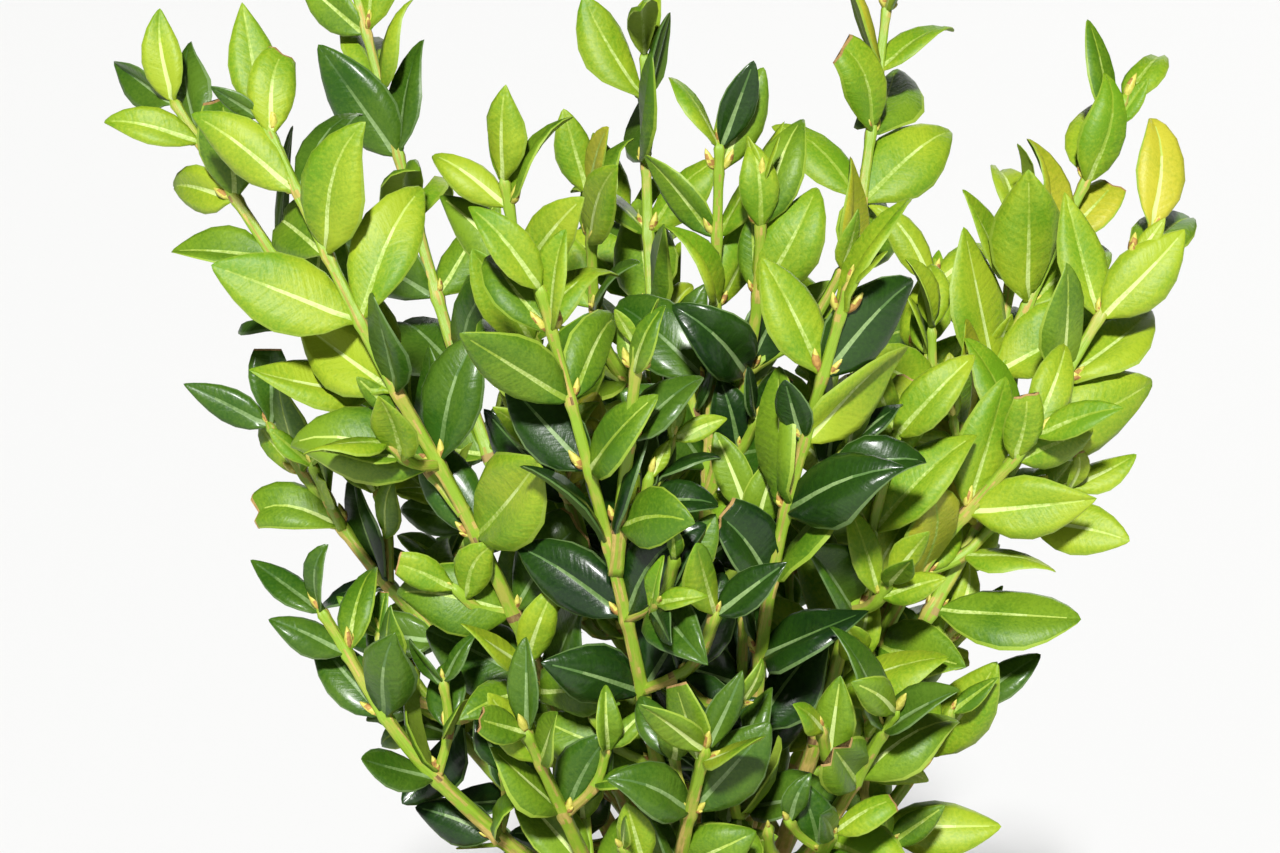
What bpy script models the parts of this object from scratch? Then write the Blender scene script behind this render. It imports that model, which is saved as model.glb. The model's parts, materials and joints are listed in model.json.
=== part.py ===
"""Young box shrub, loose and unclipped, in a plain clay pot.

A short stem stands in the soil and forks into slender limbs. Each limb is bare up to where its leafy
shoots begin. The leafy shoots are masses: four-angled twigs that carry opposite pairs of leathery
leaves, fused into one solid for each mass.

Metres, +Z up, origin at the centre of the pot's flat underside, the shrub's fuller side towards -Y.
"""

import math
import random
from collections import namedtuple

import bmesh
import bpy
from mathutils import Quaternion, Vector
from mathutils.bvhtree import BVHTree

# ---------------------------------------------------------------- driving dimensions

MM = 0.001
GAP = 0.3 * MM  # clearance between solids that touch on the real plant

POT_HEIGHT = 105 * MM
POT_RIM_RADIUS = 61 * MM
POT_BAND_HEIGHT = 22 * MM
POT_BAND_STEP = 3 * MM
POT_FOOT_RADIUS = 42 * MM
POT_WALL = 4.5 * MM
POT_FLOOR = 7 * MM
POT_EDGE = 1.2 * MM
TURNED_STEPS = 32

SOIL_LEVEL = 97 * MM
SOIL_FALL = 1.5 * MM

STEM_HEIGHT = 17 * MM
STEM_RADIUS = 6.4 * MM
STEM_FLARE = 1.75  # root flare, as a share of the stem's radius
STEM_LEAN = 1.5 * MM

LIMB_BASE_RADIUS = 2.0 * MM
LIMB_TIP_RADIUS = 1.35 * MM
SIDE_LIMB_BASE_RADIUS = 1.5 * MM
LIMB_STEP = 12 * MM

TWIG_BASE_RADIUS = 1.25 * MM
TWIG_TIP_RADIUS = 0.75 * MM
INTERNODE = 18 * MM
TIP_INTERNODE = 10 * MM
FOOT_RING = 2 * MM
TIP_NODE = 1.2 * MM  # how far the last pair of leaves springs from below the twig's tip

# Bevel resolutions of a curve, by the number of sides that they give its tube
EIGHT_SIDED = 2
SIX_SIDED = 1
FOUR_SIDED = 0

LEAF_WIDTH = 0.54  # as a share of the leaf's length
LEAF_THICKNESS = 0.032
LEAF_FOLD = 0.10  # how far its edges rise, as a share of half its width
LEAF_CURL = 0.06  # how far its tip curls back, as a share of its length
LEAF_ROOT = 0.25 * MM  # how far a leaf's root stands off its twig's axis
ROOT_SHARE = 0.16  # of the leaf, which may meet the roots of its own mass

# Degrees: how a pair of leaves is turned about its twig, and how far its leaves stand off the twig
PAIR_TURN = 34
PAIR_TURN_SPREAD = 20
LEAF_ANGLE = 50
TIP_LEAF_ANGLE = 24
LEAF_ANGLE_SPREAD = 16
LEAF_TWIST = 30

LEAF_SIZES = (0.82, 1.1)  # smallest and largest, as shares of what is usual at that height
FACES_LIGHT = 0.7  # how much of a blade's turn is towards the light; the rest is towards the tip
LEAF_OVER_POT = 1.5 * MM
TWIG_OVER_POT = 8 * MM

# Where a leaf finds no room, it is tried turned by so many degrees and shrunk to this share
TRIES = ((0, 1.0), (22, 1.0), (-22, 1.0), (0, 0.8), (40, 0.85), (-40, 0.85), (0, 0.62))

TWIG_CHANCE = 0.35
SIDE_TWIG_SHARE = 0.8  # of the shoot's own radius
SIDE_LEAF_SHARE = 0.78  # of the shoot's own leaf length
TWIG_LENGTH = 24 * MM
LAST_TWIG = 0.42  # share of a shoot above which no side twig springs

# A leafy shoot: the mass it belongs to, what it grows from, the share of that parent's route at which
# it leaves, the points it passes, its tip, the share of its route that is bare limb, the length of its
# leaves and their tone. Points are in millimetres from the foot of the stem, at soil level.
Shoot = namedtuple("Shoot", "mass parent leaves_at through tip bare leaf tone")

SHOOTS = (
    Shoot("centre", "stem", 0.0, ((0, -1, 62), (2, -9, 115)), (3, -15, 158), 0.42, 25, "mature"),
    Shoot("centre", "centre", 0.56, ((9, -15, 125),), (10, -23, 152), 0.0, 24, "golden"),
    Shoot("left_tall", "stem", 0.0, ((-9, 0, 16), (-37, -32, 88), (-56, -40, 126)),
          (-75, -30, 164), 0.32, 27, "fresh"),
    Shoot("left_tall", "left_tall", 0.58, ((-69, -20, 131),), (-93, -6, 165), 0.0, 25, "fresh"),
    Shoot("left_low", "stem", 0.0, ((-8, -5, 9), (-47, -28, 49)), (-66, -31, 79), 0.42, 21, "fresh"),
    Shoot("front", "stem", 0.0, ((-1, -9, 14), (-14, -50, 85)), (-27, -63, 138), 0.32, 26, "mature"),
    Shoot("front", "front", 0.66, (), (-11, -70, 130), 0.0, 19, "mature"),
    Shoot("front_right", "stem", 0.0, ((6, -8, 12), (11, -42, 84)), (23, -59, 138), 0.25, 27, "mature"),
    Shoot("right_tall", "stem", 0.0, ((9, -1, 15), (43, 4, 92), (62, 8, 133)),
          (77, 11, 165), 0.28, 27, "fresh"),
    Shoot("right_tall", "right_tall", 0.56, ((55, 12, 122),), (58, 14, 142), 0.0, 26, "golden"),
    Shoot("back_left", "stem", 0.0, ((-6, 7, 18), (-42, 27, 105)), (-66, 44, 188), 0.38, 27, "fresh"),
    Shoot("back_right", "stem", 0.0, ((6, 7, 15), (28, 40, 122)), (38, 55, 190), 0.40, 27, "fresh"),
    Shoot("rear_centre", "stem", 0.0, ((-1, 9, 13), (-6, 46, 88)), (-14, 72, 138), 0.34, 26, "fresh"),
    Shoot("left_mid", "left_tall", 0.24, ((-43, 6, 61), (-62, 18, 79)), (-80, 21, 104), 0.16, 24, "fresh"),
    Shoot("centre_left", "centre", 0.30, ((-16, -10, 72), (-27, -22, 115)),
          (-34, -29, 153), 0.22, 25, "golden"),
    Shoot("back_centre", "centre", 0.20, ((-5, 17, 80), (-9, 31, 132)), (-10, 36, 172), 0.34, 26, "fresh"),
    Shoot("back_centre", "back_centre", 0.50, ((-18, 20, 120),), (-20, 8, 148), 0.0, 24, "fresh"),
    Shoot("right_outer", "right_tall", 0.20, ((34, -10, 62), (62, -8, 112)),
          (80, -4, 142), 0.30, 28, "fresh"),
    Shoot("right_inner", "right_tall", 0.15, ((22, -20, 60),), (33, -32, 110), 0.34, 26, "fresh"),
    Shoot("right_back", "back_right", 0.24, ((29, 20, 78),), (44, 27, 130), 0.26, 25, "fresh"),
    Shoot("right_low", "right_tall", 0.08, ((26, -2, 26),), (48, -4, 56), 0.34, 24, "fresh"),
    Shoot("front_right_low", "front_right", 0.12, ((20, -31, 38),), (32, -52, 66), 0.36, 24, "fresh"),
    Shoot("front_low", "front", 0.12, ((-4, -40, 36),), (0, -62, 62), 0.36, 22, "fresh"),
    Shoot("front_left_low", "left_low", 0.20, ((-19, -27, 30),), (-30, -50, 62), 0.26, 22, "fresh"),
    Shoot("left_side_low", "left_tall", 0.13, ((-32, 9, 34),), (-56, 14, 60), 0.28, 22, "fresh"),
    Shoot("right_mid", "right_tall", 0.25, ((37, -15, 80),), (58, -22, 108), 0.24, 26, "fresh"),
    Shoot("centre_low", "centre", 0.13, ((6, -14, 46),), (7, -33, 78), 0.30, 22, "mature"),
    Shoot("rear_left", "back_left", 0.14, ((-34, 34, 56),), (-56, 60, 98), 0.24, 25, "fresh"),
    Shoot("rear_right", "back_right", 0.14, ((30, 34, 56),), (54, 58, 102), 0.26, 25, "mature"),
    Shoot("rear_low", "rear_centre", 0.14, ((6, 44, 36),), (10, 72, 68), 0.28, 22, "mature"),
)

TONES = {
    "fresh": (0.27, 0.47, 0.05, 1),
    "mature": (0.035, 0.13, 0.05, 1),
    "golden": (0.42, 0.46, 0.05, 1),
}


# ---------------------------------------------------------------- scene and materials


def clear_scene():
    for obj in list(bpy.data.objects):
        bpy.data.objects.remove(obj)


def new_collection(name):
    collection = bpy.data.collections.new(name)
    bpy.context.scene.collection.children.link(collection)
    return collection


def finish(name, color, roughness):
    """A plain finish with the part's colour."""
    material = bpy.data.materials.new(name)
    material.use_nodes = True
    shader = material.node_tree.nodes["Principled BSDF"]
    shader.inputs["Base Color"].default_value = color
    shader.inputs["Roughness"].default_value = roughness
    shader.inputs["Metallic"].default_value = 0.0
    return material


def mesh_object(name, mesh, collection, material):
    obj = bpy.data.objects.new(name, mesh)
    collection.objects.link(obj)
    mesh.materials.clear()
    mesh.materials.append(material)
    return obj


# ---------------------------------------------------------------- turned shapes: pot and soil


def turned(name, profile, collection, material):
    """A solid turned about Z from a profile of (radius, height) that starts and ends on the axis."""
    bm = bmesh.new()
    points = [bm.verts.new((radius, 0, height)) for radius, height in profile]
    for first, second in zip(points, points[1:]):
        bm.edges.new((first, second))
    mesh = bpy.data.meshes.new(name)
    bm.to_mesh(mesh)
    bm.free()
    obj = mesh_object(name, mesh, collection, material)
    screw = obj.modifiers.new("turn", "SCREW")
    screw.steps = screw.render_steps = TURNED_STEPS
    screw.use_merge_vertices = True
    screw.merge_threshold = 0.00001
    screw.use_smooth_shade = True
    return obj


def pot_wall(height):
    """The radius of the pot's tapering outer wall, without its rim band."""
    return POT_FOOT_RADIUS + height / POT_HEIGHT * (POT_RIM_RADIUS - POT_BAND_STEP - POT_FOOT_RADIUS)


def pot_bore(height):
    """The radius of the pot's inner wall."""
    return pot_wall(height) - POT_WALL


def build_pot(collection, material):
    """The pot's profile runs up its inner wall, over the rim and band, and down to its flat underside."""
    band_low = POT_HEIGHT - POT_BAND_HEIGHT
    profile = (
        (0, POT_FLOOR),
        (pot_bore(POT_FLOOR), POT_FLOOR),
        (pot_bore(POT_HEIGHT - POT_EDGE), POT_HEIGHT - POT_EDGE),
        (pot_bore(POT_HEIGHT) + POT_EDGE, POT_HEIGHT),
        (POT_RIM_RADIUS - POT_EDGE, POT_HEIGHT),
        (POT_RIM_RADIUS, POT_HEIGHT - POT_EDGE),
        (POT_RIM_RADIUS - POT_EDGE, band_low + POT_EDGE),
        (POT_RIM_RADIUS - 2 * POT_EDGE, band_low),
        (pot_wall(band_low), band_low - POT_EDGE),
        (pot_wall(POT_EDGE), POT_EDGE),
        (POT_FOOT_RADIUS - POT_EDGE, 0),
        (0, 0),
    )
    return turned("pot", profile, collection, material)


def build_soil(collection, material):
    """A filling that is level round the stem and falls a little to the pot's wall."""
    low = POT_FLOOR + GAP
    edge = SOIL_LEVEL - SOIL_FALL
    profile = (
        (0, SOIL_LEVEL),
        (STEM_RADIUS * STEM_FLARE + 6 * MM, SOIL_LEVEL),
        (pot_bore(edge) - 1.5 * GAP, edge),
        (pot_bore(low) - 1.5 * GAP, low),
        (0, low),
    )
    return turned("soil", profile, collection, material)


# ---------------------------------------------------------------- routes and tubes


def at_foot(point):
    """A point given in millimetres from the foot of the stem, in metres in the object's frame."""
    return Vector(point) * MM + Vector((0, 0, SOIL_LEVEL))


def smooth_route(points, steps=12):
    """A Catmull-Rom curve through the points, sampled evenly in each stretch."""
    padded = [2 * points[0] - points[1], *points, 2 * points[-1] - points[-2]]
    route = []
    for a, b, c, d in zip(padded, padded[1:], padded[2:], padded[3:]):
        for step in range(steps):
            t = step / steps
            route.append(
                0.5
                * (
                    2 * b
                    + (c - a) * t
                    + (2 * a - 5 * b + 4 * c - d) * t**2
                    + (3 * b - a - 3 * c + d) * t**3
                )
            )
    route.append(points[-1].copy())
    return route


def route_length(route):
    return sum((b - a).length for a, b in zip(route, route[1:]))


def walk(route, distance):
    """The place at a distance along the route, and the direction there."""
    for a, b in zip(route, route[1:]):
        stretch = (b - a).length
        if distance <= stretch:
            return a.lerp(b, distance / stretch), (b - a).normalized()
        distance -= stretch
    return route[-1].copy(), (route[-1] - route[-2]).normalized()


def part_of_route(route, start, end, step):
    """Places from one distance along the route to another, about a step apart."""
    count = max(2, round((end - start) / step) + 1)
    return [walk(route, start + (end - start) * i / (count - 1))[0] for i in range(count)]


def tube_mesh(name, points, radii, resolution):
    """A closed round or square tube: a curve with a bevel, made a mesh with its caps welded on."""
    curve = bpy.data.curves.new(name, "CURVE")
    curve.dimensions = "3D"
    curve.twist_mode = "MINIMUM"
    curve.bevel_depth = 1.0
    curve.bevel_resolution = resolution
    curve.use_fill_caps = True
    spline = curve.splines.new("POLY")
    spline.points.add(len(points) - 1)
    for place, point, radius in zip(spline.points, points, radii):
        place.co = (*point, 1)
        place.radius = radius
    holder = bpy.data.objects.new(name, curve)
    bpy.context.scene.collection.objects.link(holder)
    graph = bpy.context.evaluated_depsgraph_get()
    mesh = bpy.data.meshes.new_from_object(holder.evaluated_get(graph))
    bpy.data.objects.remove(holder)
    bpy.data.curves.remove(curve)
    bm = bmesh.new()
    bm.from_mesh(mesh)
    bmesh.ops.remove_doubles(bm, verts=bm.verts, dist=0.01 * MM)
    bmesh.ops.triangulate(bm, faces=bm.faces)
    bmesh.ops.recalc_face_normals(bm, faces=bm.faces)
    bm.to_mesh(mesh)
    bm.free()
    return mesh


# ---------------------------------------------------------------- stem and limbs


def stem_outline(grow):
    """Places and radii up the short stem: root flare, waist, the swollen fork and its crown."""
    lean = Vector((STEM_LEAN, 0, 0))
    root_flare = ((0.0, STEM_FLARE), (0.10, 1.45), (0.28, 1.08))
    fork = ((0.78, 1.12), (0.93, 0.86), (1.0, 0.45))
    shares = (*root_flare, (0.55, 1.0), *fork)
    base = Vector((0, 0, SOIL_LEVEL + GAP))
    points = [base + Vector((0, 0, STEM_HEIGHT * share)) + lean * share**2 for share, _ in shares]
    radii = [STEM_RADIUS * scale + grow for _, scale in shares]
    if grow:
        points[0].z -= 2 * MM
        points[-1].z += grow
    return points, radii


def fork_place():
    """The middle of the swollen fork, where the limbs spring from."""
    return Vector((STEM_LEAN * 0.5, 0, SOIL_LEVEL + STEM_HEIGHT * 0.62))


def limb_radii(shoot, count):
    base = LIMB_BASE_RADIUS if shoot.parent == "stem" else SIDE_LIMB_BASE_RADIUS
    end = LIMB_TIP_RADIUS if shoot.parent == "stem" else TWIG_BASE_RADIUS
    return [base + (end - base) * i / (count - 1) for i in range(count)]


def cut_clear(obj, cutter_mesh, cutters):
    """Cuts obj clear of a neighbour, with the cutter's mesh already grown by the gap."""
    cutter = bpy.data.objects.new(obj.name + "_clearance", cutter_mesh)
    cutters.objects.link(cutter)
    cutter.hide_render = True
    cutter.display_type = "WIRE"
    cut = obj.modifiers.new("clear", "BOOLEAN")
    cut.operation = "DIFFERENCE"
    cut.object = cutter
    bpy.context.view_layer.update()
    graph = bpy.context.evaluated_depsgraph_get()
    mesh = bpy.data.meshes.new_from_object(obj.evaluated_get(graph))
    obj.modifiers.clear()
    obj.data = mesh
    bpy.data.objects.remove(cutter)


# ---------------------------------------------------------------- leaves

# A leaf's outline as (share of the length, share of half the width), round its blade from the root
LEAF_OUTLINE = ((0.0, 0.0), (0.46, -1.0), (0.98, -0.42), (0.98, 0.42), (0.46, 1.0))
LEAF_MIDDLE = 0.30

Leaf = namedtuple("Leaf", "root along across face length")
Twig = namedtuple("Twig", "mass route start end radius leaf")
Tree = namedtuple("Tree", "faces centre reach")


def leaf_blank():
    """A five-sided double pyramid: the mesh that each blade is shaped from."""
    bm = bmesh.new()
    bmesh.ops.create_uvsphere(bm, u_segments=5, v_segments=2, radius=1)
    return bm


def leaf_template():
    """The blank's faces, and each vertex's place in the outline, where 5 and 6 are its two poles."""
    bm = leaf_blank()
    roles = []
    for vert in bm.verts:
        if abs(vert.co.z) > 0.5:
            roles.append(5 if vert.co.z > 0 else 6)
        else:
            turn = math.atan2(vert.co.y, vert.co.x) % math.tau
            roles.append(round(turn / (math.tau / 5)) % 5)
    faces = [tuple(v.index for v in face.verts) for face in bm.faces]
    bm.free()
    return roles, faces


def leaf_points(leaf, roles, grow=0.0):
    """The leaf's vertices: a folded blade whose tip curls back, with grow added all round."""
    half = leaf.length * LEAF_WIDTH / 2
    places = []
    for role in roles:
        if role < 5:
            share, side = LEAF_OUTLINE[role]
            along = share * leaf.length + (grow if share > 0.5 else 0)
            across = side * half + math.copysign(grow, side) * (side != 0)
            lift = LEAF_FOLD * abs(side) * half - LEAF_CURL * leaf.length * share**2
        else:
            along = LEAF_MIDDLE * leaf.length
            across = 0.0
            lift = (1 if role == 5 else -1) * (LEAF_THICKNESS / 2 * leaf.length + grow)
        places.append(leaf.root + leaf.along * along + leaf.across * across + leaf.face * lift)
    return places


def leaf_mesh(leaf, roles):
    bm = leaf_blank()
    for vert, place in zip(bm.verts, leaf_points(leaf, roles)):
        vert.co = place
    mesh = bpy.data.meshes.new("leaf")
    bm.to_mesh(mesh)
    bm.free()
    return mesh


def make_leaf(place, tangent, side, angle, light, length, twist):
    """A leaf that leaves the twig at an angle to one side, its blade turned towards the light."""
    along = (tangent * math.cos(angle) + side * math.sin(angle)).normalized()
    to_tip = tangent - along * tangent.dot(along)
    to_light = light - along * light.dot(along)
    face = to_tip.normalized() * (1 - FACES_LIGHT) + to_light.normalized() * FACES_LIGHT
    face = face.normalized()
    face = Quaternion(along, twist) @ face
    return Leaf(place + side * LEAF_ROOT, along, face.cross(along).normalized(), face, length)


# ---------------------------------------------------------------- the growing rule


def ball_tree(points, faces):
    """A shape's faces for overlap tests, with the ball round them that rules most tests out."""
    centre = sum(points, Vector()) / len(points)
    reach = max((p - centre).length for p in points)
    return Tree(BVHTree.FromPolygons(points, faces), centre, reach)


def meet(tree, other):
    if (other.centre - tree.centre).length > other.reach + tree.reach:
        return False
    return bool(tree.faces.overlap(other.faces))


def mesh_tree(mesh):
    return ball_tree([v.co.copy() for v in mesh.vertices], [tuple(p.vertices) for p in mesh.polygons])


class Space:
    """What has been placed, so that a new leaf or twig can be kept clear of it.

    A leaf counts whole for the other masses. Its own mass meets its blade only, because the roots of a
    pair run into one twig.
    """

    def __init__(self):
        self.taken = []
        self.own = {}

    def add(self, owner, whole, blade=None):
        self.taken.append((owner, whole))
        self.own.setdefault(owner, []).append(blade or whole)

    def is_free(self, owner, whole, blade=None):
        if any(name != owner and meet(whole, other) for name, other in self.taken):
            return False
        return blade is None or not any(meet(blade, other) for other in self.own.get(owner, ()))


def light_at(place):
    """The way that blades turn: outwards, up, and towards -Y, where the shrub's light came from."""
    out = Vector((place.x, place.y, 0))
    out = out.normalized() if out.length > 1e-6 else Vector((0, -1, 0))
    return Vector((0.7 * out.x, 0.7 * out.y - 0.75, 0.55)).normalized()


def node_distances(start, end):
    """Distances of the leaf pairs along a shoot: they draw together towards its tip."""
    places = []
    here = start + INTERNODE * 0.5
    while here < end - 0.4 * TIP_INTERNODE:
        places.append(here)
        share = (here - start) / max(end - start, 1e-6)
        here += INTERNODE + (TIP_INTERNODE - INTERNODE) * share
    places.append(end - TIP_NODE)
    return places


def grow_pair(space, owner, place, tangent, turn, share, length, rng, template):
    """The leaves of one pair that find room, each tried at a few angles and sizes."""
    roles, faces = template
    light = light_at(place)
    side = tangent.cross(light).normalized()
    turn += rng.uniform(-PAIR_TURN_SPREAD, PAIR_TURN_SPREAD)
    side = Quaternion(tangent, math.radians(turn)) @ side
    spread = math.radians(LEAF_ANGLE + (TIP_LEAF_ANGLE - LEAF_ANGLE) * share)
    found = []
    for way in (1, -1):
        size = length * rng.uniform(*LEAF_SIZES)
        lean = spread + math.radians(rng.uniform(-LEAF_ANGLE_SPREAD, LEAF_ANGLE_SPREAD))
        twist = math.radians(rng.uniform(-LEAF_TWIST, LEAF_TWIST))
        for shift, shrink in TRIES:
            turned_side = Quaternion(tangent, math.radians(shift)) @ (side * way)
            leaf = make_leaf(place, tangent, turned_side, lean, light, size * shrink, twist)
            points = leaf_points(leaf, roles, GAP * 1.15)
            if min(p.z for p in points) < POT_HEIGHT + LEAF_OVER_POT:
                continue
            blade_root = points[roles.index(0)] + leaf.along * (ROOT_SHARE * leaf.length)
            blade = [blade_root if role == 0 else point for role, point in zip(roles, points)]
            whole = ball_tree(points, faces)
            beyond_root = ball_tree(blade, faces)
            if space.is_free(owner, whole, beyond_root):
                space.add(owner, whole, beyond_root)
                found.append(leaf)
                break
    return found


def leaf_size(share):
    """The size of a leaf along its shoot: full below the middle, smaller at the tip."""
    return 0.86 + 0.5 * share - 0.62 * share**2


def side_twig_route(place, tangent, side, length):
    """A short twig out of a leaf's axil, which bends up towards the shoot's own direction."""
    bend = place + (tangent * 0.6 + side * 0.8).normalized() * length * 0.5
    tip = bend + (tangent * 0.8 + side * 0.5 + Vector((0, 0, 0.25))).normalized() * length * 0.5
    return smooth_route([place, bend, tip], steps=4)


def twig_mesh(twig):
    """A four-sided twig that tapers to its tip, with a ring of vertices at each pair of leaves.

    A ring close to its foot keeps that end square to the route, face to face with the limb's tip.
    """
    foot = (twig.start, twig.start + FOOT_RING)
    distances = [*foot, *node_distances(twig.start, twig.end)[:-1], twig.end]
    points = [walk(twig.route, distance)[0] for distance in distances]
    last = len(points) - 1
    radii = [twig.radius + (TWIG_TIP_RADIUS - twig.radius) * i / last for i in range(len(points))]
    return tube_mesh(twig.mass, points, radii, FOUR_SIDED)


def main_twigs(routes, space):
    """The stem of each leafy shoot, which carries on the curve of its limb."""
    twigs = []
    for shoot, route in zip(SHOOTS, routes):
        length = route_length(route)
        start = shoot.bare * length + (GAP if shoot.bare else 0)
        twig = Twig(shoot.mass, route, start, length, TWIG_BASE_RADIUS, shoot.leaf * MM)
        twigs.append(twig)
        space.add(shoot.mass, mesh_tree(twig_mesh(twig)))
    return twigs


def side_twigs(parents, space):
    """Short twigs from the lower axils of each shoot, where there is room for them."""
    twigs = []
    for number, parent in enumerate(parents):
        rng = random.Random(100 + number)
        for distance in node_distances(parent.start, parent.end):
            share = (distance - parent.start) / (parent.end - parent.start)
            if share > LAST_TWIG or rng.random() > TWIG_CHANCE:
                continue
            place, tangent = walk(parent.route, distance)
            side = Quaternion(tangent, rng.uniform(0, math.tau)) @ tangent.orthogonal().normalized()
            length = TWIG_LENGTH * rng.uniform(0.75, 1.15)
            route = side_twig_route(place, tangent, side, length)
            radius = TWIG_BASE_RADIUS * SIDE_TWIG_SHARE
            leaf = parent.leaf * SIDE_LEAF_SHARE
            twig = Twig(parent.mass, route, 0, route_length(route), radius, leaf)
            tree = mesh_tree(twig_mesh(twig))
            low = min(point.z for point in route)
            if low > POT_HEIGHT + TWIG_OVER_POT and space.is_free(parent.mass, tree):
                space.add(parent.mass, tree)
                twigs.append(twig)
    return twigs


def union_of(name, pieces, collection, material):
    """One solid from the overlapping pieces of a mass."""
    workshop = bpy.data.collections.new(name + "_pieces")
    bpy.context.scene.collection.children.link(workshop)
    for index, mesh in enumerate(pieces[1:]):
        workshop.objects.link(bpy.data.objects.new(f"{name}_piece_{index}", mesh))
    obj = mesh_object(name, pieces[0], collection, material)
    join = obj.modifiers.new("join", "BOOLEAN")
    join.operation = "UNION"
    join.operand_type = "COLLECTION"
    join.collection = workshop
    join.solver = "MANIFOLD"
    bpy.context.view_layer.update()
    graph = bpy.context.evaluated_depsgraph_get()
    mesh = bpy.data.meshes.new_from_object(obj.evaluated_get(graph))
    obj.modifiers.clear()
    obj.data = mesh
    for piece in list(workshop.objects):
        bpy.data.objects.remove(piece)
    bpy.data.collections.remove(workshop)
    return obj


# ---------------------------------------------------------------- the whole plant


def plan_routes():
    """The route and length of each shoot, from its parent to its tip."""
    first = {}
    routes = []
    for shoot in SHOOTS:
        if shoot.parent == "stem":
            start = fork_place()
        else:
            parent = first[shoot.parent]
            start = walk(parent, shoot.leaves_at * route_length(parent))[0]
        route = smooth_route([start, *map(at_foot, shoot.through), at_foot(shoot.tip)])
        first.setdefault(shoot.mass, route)
        routes.append(route)
    return routes


def build_stem(collection, material, space):
    points, radii = stem_outline(0)
    mesh = tube_mesh("stem", points, radii, EIGHT_SIDED)
    space.add("stem", mesh_tree(mesh))
    return mesh_object("stem", mesh, collection, material)


def build_limbs(collection, cutters, material, routes, space):
    """One tapering limb for each mass, from the stem or a larger limb to where its leaves begin."""
    cut_mesh = {"stem": tube_mesh("stem_clearance", *stem_outline(GAP), EIGHT_SIDED)}
    for shoot, route in zip(SHOOTS, routes):
        if shoot.bare == 0:
            continue
        end = shoot.bare * route_length(route)
        points = part_of_route(route, 0, end, LIMB_STEP)
        radii = limb_radii(shoot, len(points))
        name = shoot.mass + "_limb"
        limb = mesh_object(name, tube_mesh(name, points, radii, SIX_SIDED), collection, material)
        cut_clear(limb, cut_mesh[shoot.parent], cutters)
        grown = [radius + GAP for radius in radii]
        cut_mesh[shoot.mass] = tube_mesh(name + "_clearance", points, grown, EIGHT_SIDED)
        space.add(name, mesh_tree(limb.data))


def build_masses(collection, materials, routes, space):
    """Twigs first, then their leaves, and then one solid of all that each mass has."""
    template = leaf_template()
    shoots = main_twigs(routes, space)
    twigs = shoots + side_twigs(shoots, space)
    pieces = {}
    for number, twig in enumerate(twigs):
        rng = random.Random(number)
        mass = pieces.setdefault(twig.mass, [])
        mass.append(twig_mesh(twig))
        for index, distance in enumerate(node_distances(twig.start, twig.end)):
            share = (distance - twig.start) / (twig.end - twig.start)
            place, tangent = walk(twig.route, distance)
            turn = PAIR_TURN if index % 2 else -PAIR_TURN
            size = twig.leaf * leaf_size(share)
            for leaf in grow_pair(space, twig.mass, place, tangent, turn, share, size, rng, template):
                mass.append(leaf_mesh(leaf, template[0]))
    tone = {shoot.mass: shoot.tone for shoot in reversed(SHOOTS)}
    for mass, meshes in pieces.items():
        union_of(mass + "_leaves", meshes, collection, materials[tone[mass]])


def main():
    clear_scene()
    shrub = new_collection("potted_box_shrub")
    cutters = new_collection("cutters")
    clay = finish("clay", (0.50, 0.19, 0.09, 1), 0.85)
    earth = finish("potting_soil", (0.035, 0.022, 0.014, 1), 1.0)
    bark = finish("box_bark", (0.34, 0.30, 0.13, 1), 0.8)
    leaf_finishes = {tone: finish("leaves_" + tone, color, 0.4) for tone, color in TONES.items()}
    space = Space()
    build_pot(shrub, clay)
    build_soil(shrub, earth)
    build_stem(shrub, bark, space)
    routes = plan_routes()
    build_limbs(shrub, cutters, bark, routes, space)
    build_masses(shrub, leaf_finishes, routes, space)


main()
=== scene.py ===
# %% [markdown]
# # A young box shrub in a clay pot
#
# The plant is a loose, unclipped box: slender shoots fork from one short stem and carry opposite pairs
# of small leathery leaves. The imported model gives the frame: a pot, its soil, the stem, one limb and one
# leaf mass for each shoot. This lesson dresses that frame. It grows the same shoots again by the same
# seeded rule, carries them on to finer twigs, and gives every leaf a real outline, a midrib and a
# waxy finish.

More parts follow.
